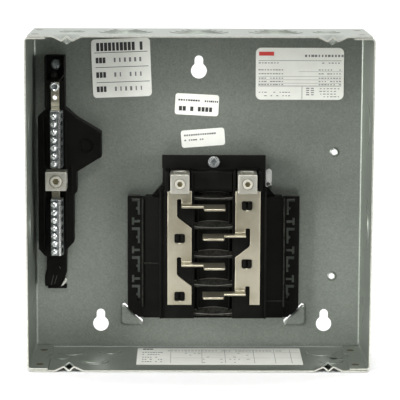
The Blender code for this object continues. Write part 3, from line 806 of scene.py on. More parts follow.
side_pieces = []
for side in (-1, 1):
    quarter = (0.0, side * math.pi / -2, 0.0)
    inner_x = side * (pan_high.x - sheet)
    for y, z, radii in (
        (-50.0, -22.0, (23.0, 17.5)),
        (-22.0, -102.0, (11.5,)),
        (-50.0, 64.0, (17.5,)),
    ):
        side_pieces += knockout((inner_x, y * mm, z * mm), [r * mm for r in radii], quarter)
flange_face = cad_box[0][2] + 2 * sheet + 0.3 * mm
for x in (-134.6, 133.2):
    for y in (-20.8, -73.6):
        side_pieces.append(weld_spot(x * mm, y * mm, flange_face))
side_marks = joined("side_half_shears", side_pieces)
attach(side_marks, "box")

# --- Interior base ----------------------------------------------------------------------------
# The bus carrier: one black thermoset moulding with breaker rails at both sides, trays under the
# bars, a stab well with dusty barriers, lug bays and a head band. A zinc screw and the two lanced
# pockets hold it to the back wall.

black_moulding = finish(
    "black_thermoset", (0.0035, 0.0035, 0.003), (0.006, 0.006, 0.005), (0.4, 0.6), 0.0,
    grain=1100.0, blotch=60.0, bump=0.2, Specular_IOR_Level=0.06,
)
dusty_moulding = finish(
    "dusty_thermoset", (0.004, 0.004, 0.0035), (0.035, 0.035, 0.03), (0.55, 0.8), 0.0,
    grain=1500.0, blotch=420.0, bump=0.6, Specular_IOR_Level=0.06,
)
# A lighter grey moulding: wear on edges and ribs, and a painted highlight on the rails' top caps.
worn_and_highlight_moulding = finish(
    "worn_thermoset_and_painted_highlight", (0.05, 0.049, 0.042), (0.11, 0.105, 0.09), (0.5, 0.7), 0.0,
    grain=1500.0, blotch=300.0, bump=0.3,
)
pitch = 25.4 * mm
rail_y = -14.0 * mm
body_y = -22.0 * mm
tray_y = -32.0 * mm
base_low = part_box("interior_base")[0]
base_left, base_right = -61.6 * mm, 87.8 * mm
base_top = -3.2 * mm
base_foot = base_low.z / mm
rail_gauge = 2.4 * mm


def rail_windows(side):
    """The hook and T windows beside each breaker space."""
    inner = {-1: -50.9 * mm, 1: 76.7 * mm}[side]
    outer = inner + side * 7.1 * mm
    strip = inner + side * 1.9 * mm
    leg = outer - side * 2.0 * mm
    windows = []
    for space in range(4):
        top = -5.4 * mm - pitch * space
        sill = top - 2.8 * mm
        sweep = (-90, -270) if side < 0 else (-90, 90)
        bump = arc((strip, top - 8.7 * mm), 1.6 * mm, *sweep, 8)
        hook = [(inner, top - 14.2 * mm), (strip, top - 14.2 * mm)] + bump
        windows.append(hook + [(strip, sill), (outer, sill), (outer, top), (inner, top)])
        if space < 3:
            tee = top - 16.7 * mm
            bar_top, bar_low = tee - 2.2 * mm, tee - 4.6 * mm
            windows.append([
                (inner, bar_low), (leg, bar_low), (leg, tee - 6.6 * mm), (outer, tee - 6.6 * mm),
                (outer, tee), (leg, tee), (leg, bar_top), (inner, bar_top),
            ])
    return windows


def base_outline():
    """The moulding's outline from the front: cut-off foot corners and the head between slopes."""
    bottom = base_low.z + 0.9 * mm
    cut_back = 8.3 * mm
    far_cut = cut_back + 1.2 * mm
    return [
        (base_left, bottom + cut_back), (base_left + far_cut, bottom),
        (base_right - far_cut, bottom), (base_right, bottom + cut_back), (base_right, base_top),
        (66.9 * mm, base_top), (59.9 * mm, 4.6 * mm), (57.6 * mm, 4.6 * mm), (57.6 * mm, 7.0 * mm),
        (-31.6 * mm, 7.0 * mm), (-40.8 * mm, base_top), (base_left, base_top),
    ]


def brick(x, y, z, bevel=0.45):
    """A rounded block of the moulding, its limits in millimetres."""
    low, high = zip(x, y, z)
    return soft_block("brick", [v * mm for v in low], [v * mm for v in high], bevel * mm)


def crest(z):
    """A barrier of the stab well: an arched, sloping crest with dusty edges."""
    x0, x1, steps = -5.0 * mm, 30.6 * mm, 18
    root = body_y + 0.5 * mm
    bm = bmesh.new()
    sections = []
    for i in range(steps + 1):
        u = 2.0 * i / steps - 1.0
        x = x0 + (x1 - x0) * i / steps
        top = z + 1.5 * mm + (1.0 - u * u) * 2.6 * mm
        lip = z - (1.0 - u * u) * 1.2 * mm
        ring = (
            (root, z - 2.6 * mm), (-29.8 * mm, z - 2.6 * mm), (-30.2 * mm, lip - 0.3 * mm),
            (-30.0 * mm, lip + 0.3 * mm), (body_y - 1.6 * mm, top - 0.5 * mm),
            (body_y - 1.0 * mm, top), (root, top),
        )
        sections.append([bm.verts.new((x, y, h)) for y, h in ring])
    for one, two in zip(sections, sections[1:]):
        for k in range(len(one)):
            n = (k + 1) % len(one)
            face = bm.faces.new((one[k], one[n], two[n], two[k]))
            face.material_index = 1 if k in (2, 4) else 0
    bm.faces.new(sections[0][::-1])
    bm.faces.new(sections[-1])
    bmesh.ops.recalc_face_normals(bm, faces=bm.faces)
    barrier = built("crest", bm)
    barrier.data.materials.append(dusty_moulding)
    barrier.data.materials.append(worn_and_highlight_moulding)
    return settled(barrier, 30)


def peg(x, z):
    """A split snap peg: two prongs with a gap between them."""
    return [
        brick((x - 3.5, x - 0.9), (-36.4, -31.0), (z - 3.2, z + 3.2), 0.5),
        brick((x + 0.9, x + 3.5), (-36.4, -31.0), (z - 3.2, z + 3.2), 0.5),
        brick((x - 3.0, x + 3.0), (-33.6, -31.0), (z - 2.9, z + 2.9), 0.3),
    ]


def make_base_pieces():
    """The moulding's plates, then its blocks: head, lug bays, trays, barriers, head band, feet."""
    floor_y = -1.6
    face = [base_outline()] + rail_windows(-1) + rail_windows(1)
    pieces = [cut_plate("rail_plate", face, rail_y, rail_y + rail_gauge, 0.4 * mm)]
    low = base_foot
    shoulders = [(-46.0, low + 0.4), (72.8, low + 0.4), (72.8, -3.4), (66.4, -3.4), (59.4, 4.4)]
    shoulders += [(57.4, 4.4), (57.4, 7.0), (-31.4, 7.0), (-40.4, -3.4), (-46.0, -3.4)]
    pieces.append(cut_plate("floor_plate", [in_mm(shoulders)], rail_y + 0.5 * mm, floor_y * mm, 0.3 * mm))
    foot = [p for p in base_outline() if p[1] < low * mm + 9.0 * mm]
    foot += [(base_right, -96.0 * mm), (base_left, -96.0 * mm)]
    pieces.append(cut_plate("foot_plate", [foot], rail_y + 0.5 * mm, floor_y * mm, 0.3 * mm))
    blocks = [
        ((-31.6, 57.6), (-24.0, -21.4), (22.6, 34.1)),
        ((-31.6, 57.6), (-22.0, -2.0), (22.6, 31.2)),
        ((-31.2, 57.2), (-24.0, -2.0), (4.0, 23.2)),
        ((-48.2, 74.0), (-21.0, -13.0), (low + 1.8, -3.4)),
        ((-32.6, -5.2), (-32.0, -20.0), (low + 3.6, 5.2)),
        ((30.8, 57.4), (-32.0, -20.0), (low + 3.6, 5.2)),
        ((-33.6, -32.0), (-34.4, -20.0), (low + 3.8, 5.2)),
        ((56.8, 58.4), (-34.4, -20.0), (low + 3.8, 5.2)),
        ((-5.6, -3.6), (-31.6, -20.0), (low + 3.5, 22.2)),
        ((29.2, 31.2), (-31.6, -20.0), (low + 3.5, 22.2)),
        ((-1.4, 0.0), (-25.0, -20.0), (low + 2.4, 3.0)),
        ((26.0, 27.4), (-25.0, -20.0), (low + 2.4, 3.0)),
        ((-4.0, 29.6), (-22.0, -18.0), (low + 2.0, 5.0)),
        ((-4.1, 28.6), (-39.4, -20.0), (6.6, 21.6)),
        ((-4.3, 28.9), (-40.2, -36.0), (20.2, 22.2)),
        ((-4.3, 28.9), (-36.5, -20.0), (4.4, 6.4)),
        ((-28.8, -25.6), (-44.0, -22.0), (5.4, 22.6)),
        ((-6.6, -4.6), (-40.0, -22.0), (5.4, 22.6)),
        ((29.4, 31.6), (-40.0, -22.0), (5.4, 22.6)),
        ((51.0, 54.2), (-44.0, -22.0), (5.4, 22.6)),
        ((-25.0, -7.6), (-29.2, -22.0), (5.0, 22.6)),
        ((33.0, 49.8), (-29.2, -22.0), (5.0, 22.6)),
        ((-60.8, -47.6), (-4.0, -1.9), (low + 0.8, low + 12.0)),
        ((73.8, 87.0), (-4.0, -1.9), (low + 0.8, low + 12.0)),
    ]
    pieces += [brick(*limits) for limits in blocks]
    for x, z in ((-16.3, -37.0), (-16.3, -87.8), (41.6, -8.4), (41.6, -59.2)):
        pieces += peg(x, z)
    return pieces


base_pieces = make_base_pieces()
for piece in base_pieces:
    coat(piece, black_moulding)
for space in range(5):
    base_pieces.append(crest(-1.5 * mm - pitch * space))
for limits in (
    ((-49.2, -47.7), (-22.8, -12.0), (base_foot + 12.0, -4.4)),
    ((73.5, 75.0), (-22.8, -12.0), (base_foot + 12.0, -4.4)),
    ((-48.6, -33.0), (-21.9, -20.0), (-61.6, -60.4)),
    ((59.0, 75.0), (-21.9, -20.0), (-95.0, -93.8)),
):
    base_pieces.append(coat(brick(*limits, 0.3), dusty_moulding))
# The rails' top caps are coated in the lighter grey: wear, and a painted highlight for the light falling
# on their tops.
for rail_x in ((-61.4, -50.4), (76.4, 87.6)):
    rail_end = brick(rail_x, (-13.8, -1.6), (-6.0, -3.3), 0.3)
    base_pieces.append(coat(rail_end, worn_and_highlight_moulding))
base_piece = joined("moulded_base", base_pieces)
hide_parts("interior_base")
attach(base_piece, "box")

# --- Bus bars ---------------------------------------------------------------------------------
# Two tin-plated aluminium bars snapped over the base's pegs. Every second inch a stab is sheared
# from the bar, bent forward and stepped, so that four stabs stand in line over the well.

tin_plate = finish(
    "tin_plate", (0.34, 0.31, 0.222), (0.52, 0.493, 0.39), (0.28, 0.38), 0.84,
    grain=1300.0, blotch=22.0, bump=0.06,
)
bar_t = 1.8 * mm
stab_top = -7.9 * mm
shoulder_y = -46.0 * mm
tip_y = -61.0 * mm
well_x = 13.0 * mm
edge_x = {1: -6.0 * mm, -1: 31.6 * mm}
bar_top, bar_bottom = 4.4 * mm, -95.3 * mm
tongue_half = 5.0 * mm


def bar_outline(low, high, side, first_space):
    """The bar seen from the front, with a notch under each stab."""
    rim = edge_x[side]
    outer = low.x if side > 0 else high.x
    far = rim - side * 12.7 * mm
    near = rim - side * 8.8 * mm
    outline = [(outer, bar_top), (rim, bar_top)]
    for i in range(2):
        z = stab_top - pitch * (first_space + 2 * i)
        outline += [(rim, z + bar_t / 2), (near, z + bar_t / 2), (near, z + 4.4 * mm)]
        outline += [(near - side * 1.0 * mm, z + 5.2 * mm), (far + side * 1.0 * mm, z + 5.2 * mm)]
        outline.append((far, z + 4.4 * mm))
        if z - 21.4 * mm > bar_bottom:
            outline += [(far, z - 9.6 * mm), (far + side * 1.0 * mm, z - 11.2 * mm)]
            outline.append((rim, z - 20.4 * mm))
        else:
            outline.append((far, bar_bottom))
    if outline[-1][0] == rim:
        outline.append((rim, bar_bottom))
    outline.append((outer, bar_bottom))
    return outline


def make_stab(side, z, bar_front):
    """A stab: bend out of the bar, shoulder blade, and the taller tip over the well."""
    rim = edge_x[side]
    near = rim - side * 8.8 * mm
    seat = bar_front - 1.6 * mm
    step = well_x - side * 9.5 * mm
    tip = well_x + side * 9.5 * mm
    root = sorted((near, rim))
    y_mid = bar_front + bar_t / 2 + 0.02 * mm
    path = [(y_mid, z + 5.0 * mm), (y_mid, z), (y_mid - 6.0 * mm, z)]
    bend = folded_sheet("stab_bend", path, 1.9 * mm, bar_t, *root, "X")
    shoulder = [(near, shoulder_y), (step + side * 0.4 * mm, shoulder_y)]
    shoulder += [(step + side * 1.0 * mm, tip_y + 0.7 * mm), (step + side * 1.8 * mm, tip_y)]
    corner_r = 2.2 * mm
    turn = (270, 360) if side > 0 else (270, 180)
    shoulder += arc((tip - side * corner_r, tip_y + corner_r), corner_r, *turn, 5)
    shoulder += [(tip, seat), (rim + side * 0.4 * mm, seat), (near, seat)]
    blade = cut_plate("blade", [shoulder], z - bar_t / 2, z + bar_t / 2, 0.45 * mm, "Z")
    return [bend, blade]


def make_bar(name, node, side, first_space, tongue_x, pegs):
    """One bar with its peg holes, the tongue that carries its lug, and two stabs."""
    low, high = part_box(node)
    bar_back = tray_y - 0.3 * mm
    bar_front = bar_back - bar_t
    outline = bar_outline(low, high, side, first_space)
    holes = []
    for x, z in pegs:
        a = ((x - 4.3) * mm, (z - 3.9) * mm)
        b = ((x + 4.3) * mm, (z + 3.9) * mm)
        holes.append(rounded(a, b, 1.3 * mm))
    pieces = [cut_plate("bar", [outline] + holes, bar_front, bar_back, 0.35 * mm)]
    tongue_left, tongue_right = tongue_x - tongue_half, tongue_x + tongue_half
    tongue = [(tongue_left, 2 * mm), (tongue_right, 2 * mm)]
    tongue += [(tongue_right, 18.5 * mm), (tongue_left, 18.5 * mm)]
    pieces.append(cut_plate("tongue", [tongue], bar_front, bar_back, 0.35 * mm))
    for i in range(2):
        pieces += make_stab(side, stab_top - pitch * (first_space + 2 * i), bar_front)
    for piece in pieces:
        coat(piece, tin_plate)
    bar = joined(name, pieces)
    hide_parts(node)
    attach(bar, "box")


make_bar("left_bar", "left_bus_bar", 1, 0, -16.2 * mm, ((-16.3, -37.0), (-16.3, -87.8)))
make_bar("right_bar", "right_bus_bar", -1, 1, 41.3 * mm, ((41.6, -8.4), (41.6, -59.2)))

# --- Main lugs --------------------------------------------------------------------------------
# Box lugs sawn from an aluminium extrusion and tumbled bright: a wire port down the middle and a
# tapped bore through the front wall. The neutral bars' lug is made the same way, lying across.

lug_aluminium = finish(
    "tumbled_aluminium", (0.4, 0.39, 0.335), (0.53, 0.52, 0.46), (0.32, 0.44), 0.72,
    grain=1600.0, blotch=120.0, bump=0.12, stretch=(1.0, 1.0, 0.25),
)


def make_box_lug(name, node, axis, port_low, port_high, bore_r, groove):
    """An extruded ring with a chamfered screw bore: axis is the way the wire goes."""
    low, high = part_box(node)
    pick = {"Z": (0, 1), "X": (1, 2)}[axis]
    run = {"Z": 2, "X": 0}[axis]
    ring = rounded([low[i] for i in pick], [high[i] for i in pick], 0.8 * mm)
    port = rounded([port_low[i] for i in pick], [port_high[i] for i in pick], 1.6 * mm)
    body = cut_plate(name, [ring, port], low[run], high[run], 0.35 * mm, axis)
    middle = (low + high) / 2
    mouth = bore_r + groove
    bore = turned_piece("bore", [
        (0.0, 3.0), (mouth + 1.5, 3.0), (mouth, 0.0), (bore_r, -groove), (bore_r, -14.0), (0.0, -14.0),
    ], (middle.x, low.y, middle.z))
    lug = coat(cut_with(body, [bore]), lug_aluminium)
    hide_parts(node)
    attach(lug, "box")


for side, x in (("left", -16.2 * mm), ("right", 41.3 * mm)):
    port_low = (x - 5.5 * mm, -48.5 * mm, 0.0)
    port_high = (x + 5.5 * mm, -32.0 * mm, 0.0)
    make_box_lug(side + "_box_lug", side + "_main_lug", "Z", port_low, port_high, 4.45, 0.5)
make_box_lug(
    "neutral_box_lug", "neutral_lug", "X",
    (0.0, -34.8 * mm, 7.9 * mm), (0.0, -24.6 * mm, 18.9 * mm), 5.2, 0.7,
)


# --- Lug set screws ---------------------------------------------------------------------------
# Turned aluminium set screws with hexagon sockets, greased inside and painted darker there as
# shade, one in each lug. The rings of the thread are plain ridges, half a millimetre apart.

bright_lug = finish(
    "turned_aluminium", (0.6, 0.58, 0.5), (0.75, 0.73, 0.64), (0.3, 0.42), 0.65,
    grain=1800.0, blotch=300.0, bump=0.15,
)
# A dark olive for the socket floors: the grease's colour, and painted shade inside the socket.
socket_grease_and_painted_shade = finish(
    "socket_grease_and_painted_shade", (0.12, 0.105, 0.05), (0.2, 0.175, 0.09), (0.4, 0.6), 0.4,
    grain=1600.0, blotch=300.0, bump=0.2,
)
ridge_step = 0.5
ridge_depth = 0.3


def lofted_piece(name, rings, place, metals, steps=48):
    """A piece facing forward, lofted through rings of (radius, forward) in millimetres.

    A third value gives a ring that many sides, and a fourth picks the metal up to that ring.
    """
    rings = [(*ring, 0, 0)[:4] for ring in rings]
    bm = bmesh.new()
    loops = []
    for radius, forward, sides, metal in rings:
        loop = []
        reach = radius * mm
        for i in range(steps):
            turn = math.tau * i / steps
            out = reach
            if sides:
                half = math.pi / sides
                out *= math.cos(half) / math.cos(turn % (2 * half) - half)
            loop.append(bm.verts.new((out * math.cos(turn), out * math.sin(turn), forward * mm)))
        loops.append(loop)
    for (first, second), ring in zip(zip(loops, loops[1:]), rings[1:]):
        for i in range(steps):
            n = (i + 1) % steps
            bm.faces.new((first[i], first[n], second[n], second[i])).material_index = ring[3]
    bmesh.ops.remove_doubles(bm, verts=bm.verts, dist=1e-7)
    bmesh.ops.recalc_face_normals(bm, faces=bm.faces)
    obj = built(name, bm)
    for metal in metals:
        obj.data.materials.append(metal)
    obj.matrix_world = Matrix.Translation(place) @ FACING["Y"].to_4x4()
    return settled(obj, 30)


for node, rim_width in (
    ("left_lug_set_screw", 0.6), ("right_lug_set_screw", 0.6), ("neutral_lug_set_screw", 0.9),
):
    low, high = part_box(node)
    radius, length = (high.x - low.x) / 2 / mm, (high.y - low.y) / mm
    hexagon = radius * 0.57
    rings = [(0.0, -length), (radius - 0.7, -length)]
    for i in range(int(length / ridge_step) - 3):
        rings.append((radius - ridge_depth * (i % 2), ridge_step * (i + 1) - length))
    rings += [(radius, -rim_width), (radius - rim_width, 0.0), (hexagon + 0.5, 0.0)]
    rings += [(hexagon + 0.1, -0.4), (hexagon, -0.4, 6), (hexagon, -1.0, 6)]
    # The socket's floor rings take the dark olive, painted shade in the socket as well as grease.
    rings += [(hexagon, -2.6, 6, 1), (0.0, -3.0, 6, 1)]
    place = ((low.x + high.x) / 2, low.y, (low.z + high.z) / 2)
    name = node.replace("_set_screw", "_socket_screw")
    screw = lofted_piece(name, rings, place, (bright_lug, socket_grease_and_painted_shade))
    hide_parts(node)
    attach(screw, node + "_body")

# --- Neutral insulator ------------------------------------------------------------------------
# A black moulding hooked under a lance of the back wall and screwed to it. It has a domed foot at
# the top, a flap with a round recess, walls beside the strap and a clip below.

recess_at = (-96.6 * mm, 41.6 * mm)
rib_half = 0.2
insulator_body = in_mm([
    (-132.4, 72.0), (-138.4, 66.5), (-138.6, -49.0), (-133.6, -54.9), (-131.4, -56.0),
    (-114.4, -56.0), (-114.4, -49.8), (-108.0, -42.7), (-107.7, -1.4), (-105.2, 1.2),
    (-105.1, 18.6), (-83.9, 31.8), (-83.9, 52.4), (-105.3, 65.5), (-115.0, 74.0),
])


def make_dome():
    """The domed boss below the foot's screw, where dust settles."""
    bm = bmesh.new()
    bmesh.ops.create_uvsphere(bm, u_segments=28, v_segments=14, radius=4.9 * mm)
    bmesh.ops.scale(bm, vec=(1.0, 0.55, 1.0), verts=bm.verts)
    bmesh.ops.translate(bm, vec=(-123.6 * mm, -13.0 * mm, 100.6 * mm), verts=bm.verts)
    dome = built("dome", bm)
    dome.data.shade_smooth()
    return coat(dome, dusty_moulding)


def make_insulator_pieces():
    """The body and its skin, the tongue with the bonding hole, walls, and the clip."""
    flap_recess = circle(recess_at, 5.6 * mm, 32)
    body = cut_plate("body", [insulator_body], -18.6 * mm, -1.6 * mm, 0.7 * mm)
    skin = cut_plate("skin", [insulator_body, flap_recess], -20.0 * mm, -17.0 * mm, 0.7 * mm)
    pieces = [body, skin]
    ring = [circle(recess_at, 6.6 * mm, 32), flap_recess]
    pieces.append(cut_plate("recess_rim", ring, -20.5 * mm, -18.0 * mm, 0.2 * mm))
    bond = circle((-124.3 * mm, 82.0 * mm), 2.9 * mm)
    tongue_outline = rounded((-132.0 * mm, 70.0 * mm), (-115.0 * mm, 98.0 * mm), 0.8 * mm)
    pieces.append(cut_plate("tongue", [tongue_outline, bond], -20.0 * mm, -1.9 * mm, 0.4 * mm))
    pieces += [
        brick((-132.0, -115.0), (-13.0, -1.9), (97.0, 118.7)),
        brick((-132.4, -131.0), (-20.4, -12.0), (74.0, 118.5)),
        brick((-116.6, -115.2), (-20.4, -12.0), (74.0, 118.5)),
        brick((-131.9, -115.2), (-3.4, -1.9), (-87.0, -83.0), 0.3),
        brick((-110.2, -109.0), (-21.6, -18.0), (1.0, 24.0), 0.3),
        brick((-133.4, -132.0), (-30.0, -18.0), (-48.0, 66.0), 0.4),
        brick((-115.2, -113.8), (-24.0, -18.0), (-42.0, 66.0), 0.4),
    ]
    clip = in_mm([
        (-132.1, -55.0), (-132.1, -67.3), (-133.9, -73.8), (-134.0, -83.3), (-120.1, -83.3),
        (-118.7, -81.4), (-114.8, -70.8), (-114.8, -55.0),
    ])
    pieces.append(cut_plate("clip", [clip], -12.4 * mm, -1.9 * mm, 0.9 * mm))
    return pieces


insulator_pieces = make_insulator_pieces()
for piece in insulator_pieces:
    coat(piece, black_moulding)
insulator_pieces.append(make_dome())
for foot_x, foot_z, head_x, head_z, front in (
    (-120.6, 96.3, -115.7, 102.5, -21.0), (-128.5, -82.0, -126.4, -73.5, -12.9),
    (-125.6, -81.2, -123.4, -73.8, -12.9), (-120.2, -67.3, -121.3, -65.9, -13.4),
):
    rib = [(foot_x - rib_half, foot_z), (foot_x + rib_half, foot_z)]
    rib += [(head_x + rib_half, head_z), (head_x - rib_half, head_z)]
    rib = cut_plate("rib", [in_mm(rib)], front * mm, (front + 3.0) * mm, 0.1 * mm)
    insulator_pieces.append(coat(rib, worn_and_highlight_moulding))
insulator = joined("insulator", insulator_pieces)
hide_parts("neutral_insulator")
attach(insulator, "box")

# --- Neutral strap ----------------------------------------------------------------------------
# A tin-plated strap under both terminal bars and the neutral lug, slightly waved above them. A
# rivet holds its top end, and the bonding screw's hole has a rolled rim.

strap_x = (-126.8 * mm, -119.9 * mm)
bond_x, bond_z = -123.5 * mm, 83.3 * mm
strap_path = in_mm([
    (-21.1, 96.4), (-21.1, 79.6), (-20.6, 77.6), (-21.1, 75.6), (-20.6, 73.6), (-21.1, 71.6),
    (-21.1, -50.0),
])
strap = folded_sheet("strap", strap_path, 2.4 * mm, 1.6 * mm, *strap_x, "X")
bond_circle = circle((bond_x, bond_z), 1.9 * mm, 28)
bond_hole = cut_plate("bond_hole", [bond_circle], -26 * mm, -14 * mm)
strap = coat(cut_with(strap, [bond_hole]), tin_plate)
rim_profile = [
    (1.9, -0.3), (1.9, 0.3), (2.2, 0.6), (2.8, 0.5), (3.1, 0.0), (3.1, -0.3), (1.9, -0.3),
]
bond_rim = turned_piece("bond_rim", rim_profile, (bond_x, -21.9 * mm, bond_z))
strap = joined("strap", [strap, coat(bond_rim, tin_plate)])
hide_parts("neutral_strap")
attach(strap, "box")

# --- Terminal bars ----------------------------------------------------------------------------
# Two bars sawn from a drawn aluminium section with one canted side, riding on the strap. Each is
# drilled for seven wires through the canted side and for seven screws from the front.

# Two copies of the bars' aluminium: a light one, painted as the highlight along the crown, and a darker
# one, painted as shade on the rest of the bar.
bar_painted_highlight = finish(
    "drawn_bar_painted_highlight", (0.62, 0.63, 0.61), (0.8, 0.8, 0.78), (0.16, 0.3), 0.9,
    grain=1500.0, blotch=260.0, bump=0.25,
)
bar_painted_shade = finish(
    "drawn_bar_painted_shade", (0.2, 0.22, 0.22), (0.4, 0.43, 0.43), (0.25, 0.4), 0.85,
    grain=1500.0, blotch=260.0, bump=0.3,
)
terminal_pitch = 6.8 * mm
terminal_count = 7
screw_line = -123.9 * mm
screw_bore_r = 3.0 * mm
wire_bore_r = 2.3 * mm
wire_slant = math.radians(-38)


def make_terminal_bar(name, node):
    """A drawn bar with one canted side, drilled for seven wires and seven screws."""
    low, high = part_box(node)
    middle = (low.z + high.z) / 2
    crown, brow = high.x - 3.9 * mm, high.x - 1.9 * mm
    section = [
        (low.x, high.y), (low.x, low.y + 1.2 * mm), (low.x + 0.8 * mm, low.y + 0.5 * mm),
        (crown, low.y + 0.5 * mm), (crown + 0.4 * mm, low.y), (brow, low.y + 0.3 * mm),
        (high.x, low.y + 5.6 * mm), (high.x, high.y),
    ]
    bar = cut_plate(name, [section], low.z, high.z, 0.2 * mm, "Z")
    tools = []
    for i in range(terminal_count):
        z = middle + (i - (terminal_count - 1) / 2) * terminal_pitch
        screw_ring = [circle((screw_line, z), screw_bore_r)]
        bore = cut_plate("bore", screw_ring, low.y - 2 * mm, low.y + 9 * mm)
        wire_ring = [circle((0.0, 0.0), wire_bore_r)]
        wire_hole = cut_plate("wire_hole", wire_ring, -9 * mm, 9 * mm, 0.0, "X")
        place = Matrix.Translation((high.x - 1.5 * mm, low.y + 4.6 * mm, z))
        wire_hole.data.transform(place @ Matrix.Rotation(wire_slant, 4, "Z"))
        tools += [bore, wire_hole]
    # The bar is coated in the darker copy as painted shade, and the crown strip's front faces in the
    # lighter copy as a painted highlight.
    bar = coat(cut_with(bar, tools), bar_painted_shade)
    bar.data.materials.append(bar_painted_highlight)
    for face in bar.data.polygons:
        on_painted_highlight = crown < face.center.x < brow and face.normal.y < -0.9
        face.material_index = 1 if on_painted_highlight else 0
    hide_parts(node)
    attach(bar, "box")


make_terminal_bar("upper_neutral_bar", "upper_terminal_bar")
make_terminal_bar("lower_neutral_bar", "lower_terminal_bar")

# --- Terminal screws --------------------------------------------------------------------------
# Slotted round-head screws of zinc-plated steel, one over each wire hole of the terminal bars,
# driven to different angles.

zinc_plate = finish(
    "zinc_plate", (0.66, 0.69, 0.68), (0.88, 0.9, 0.9), (0.18, 0.32), 0.8,
    grain=1800.0, blotch=350.0, bump=0.3,
)
thread_pitch = 0.8 * mm


def slotted_screw_tree():
    """A slotted round-head screw with a thread on its shank."""
    tree, entry, leave = geometry_tree(
        "slotted_screw",
        (
            ("Head Radius", "NodeSocketFloat", 2.85 * mm),
            ("Head Height", "NodeSocketFloat", 2.0 * mm),
            ("Shank Radius", "NodeSocketFloat", 1.7 * mm),
            ("Shank Length", "NodeSocketFloat", 6.6 * mm),
            ("Slot Width", "NodeSocketFloat", 0.9 * mm),
            ("Slot Depth", "NodeSocketFloat", 1.1 * mm),
            ("Turn", "NodeSocketFloat", 0.0),
            ("Place", "NodeSocketVector", (0, 0, 0)),
            ("Metal", "NodeSocketMaterial", None),
        ),
    )
    new = tree.nodes.new

    def maths(operation, first, second):
        node = new("ShaderNodeMath")
        node.operation = operation
        for socket, value in zip(node.inputs, (first, second)):
            if isinstance(value, float):
                socket.default_value = value
            else:
                tree.links.new(value, socket)
        return node.outputs["Value"]

    def along(value):
        vector = new("ShaderNodeCombineXYZ")
        tree.links.new(value, vector.inputs["Z"])
        return vector.outputs["Vector"]

    def moved(geometry, translation):
        move = new("GeometryNodeTransform")
        tree.links.new(geometry, move.inputs["Geometry"])
        tree.links.new(translation, move.inputs["Translation"])
        return move.outputs["Geometry"]

    head_r, head_h = entry.outputs["Head Radius"], entry.outputs["Head Height"]
    ball = new("GeometryNodeMeshUVSphere")
    ball.inputs["Segments"].default_value = 32
    ball.inputs["Rings"].default_value = 18
    tree.links.new(head_r, ball.inputs["Radius"])
    squash = new("ShaderNodeCombineXYZ")
    squash.inputs["X"].default_value = 1.0
    squash.inputs["Y"].default_value = 1.0
    tree.links.new(maths("DIVIDE", head_h, head_r), squash.inputs["Z"])
    head = new("GeometryNodeTransform")
    tree.links.new(ball.outputs["Mesh"], head.inputs["Geometry"])
    tree.links.new(squash.outputs["Vector"], head.inputs["Scale"])
    slot = new("GeometryNodeMeshCube")
    size = new("ShaderNodeCombineXYZ")
    tree.links.new(entry.outputs["Slot Width"], size.inputs["X"])
    size.inputs["Y"].default_value = 30 * mm
    tree.links.new(maths("MULTIPLY", entry.outputs["Slot Depth"], 2.0), size.inputs["Z"])
    tree.links.new(size.outputs["Vector"], slot.inputs["Size"])
    carve = new("GeometryNodeMeshBoolean")
    carve.operation = "DIFFERENCE"
    shank = new("GeometryNodeMeshCylinder")
    shank.inputs["Vertices"].default_value = 20
    length = entry.outputs["Shank Length"]
    core = maths("MULTIPLY", entry.outputs["Shank Radius"], 0.86)
    tree.links.new(core, shank.inputs["Radius"])
    tree.links.new(length, shank.inputs["Depth"])
    low_shank = moved(shank.outputs["Mesh"], along(maths("MULTIPLY", length, -0.5)))
    coil = new("GeometryNodeCurveSpiral")
    coil.inputs["Resolution"].default_value = 14
    tree.links.new(maths("MULTIPLY", length, 1.0 / thread_pitch), coil.inputs["Rotations"])
    tree.links.new(core, coil.inputs["Start Radius"])
    tree.links.new(core, coil.inputs["End Radius"])
    tree.links.new(maths("MULTIPLY", length, -0.94), coil.inputs["Height"])
    ridge = new("GeometryNodeCurvePrimitiveCircle")
    ridge.inputs["Resolution"].default_value = 4
    ridge.inputs["Radius"].default_value = 0.26 * mm
    thread = new("GeometryNodeCurveToMesh")
    thread.inputs["Fill Caps"].default_value = True
    everything = new("GeometryNodeJoinGeometry")
    spin = new("GeometryNodeTransform")
    spin_vec = new("ShaderNodeCombineXYZ")
    aim = new("GeometryNodeTransform")
    aim.inputs["Rotation"].default_value = (math.pi / 2, 0.0, 0.0)
    carry = new("GeometryNodeTransform")
    real = new("GeometryNodeRealizeInstances")
    paint = new("GeometryNodeSetMaterial")
    wire(tree, (
        (head.outputs["Geometry"], carve.inputs["Mesh 1"]),
        (moved(slot.outputs["Mesh"], along(head_h)), carve.inputs["Mesh 2"]),
        (coil.outputs["Curve"], thread.inputs["Curve"]),
        (ridge.outputs["Curve"], thread.inputs["Profile Curve"]),
        (carve.outputs["Mesh"], everything.inputs["Geometry"]),
        (low_shank, everything.inputs["Geometry"]),
        (thread.outputs["Mesh"], everything.inputs["Geometry"]),
        (everything.outputs["Geometry"], spin.inputs["Geometry"]),
        (entry.outputs["Turn"], spin_vec.inputs["Z"]),
        (spin_vec.outputs["Vector"], spin.inputs["Rotation"]),
        (spin.outputs["Geometry"], aim.inputs["Geometry"]),
        (aim.outputs["Geometry"], carry.inputs["Geometry"]),
        (entry.outputs["Place"], carry.inputs["Translation"]),
        (carry.outputs["Geometry"], real.inputs["Geometry"]),
        (real.outputs["Geometry"], paint.inputs["Geometry"]),
        (entry.outputs["Metal"], paint.inputs["Material"]),
        (paint.outputs["Geometry"], leave.inputs["Geometry"]),
    ))
    return tree


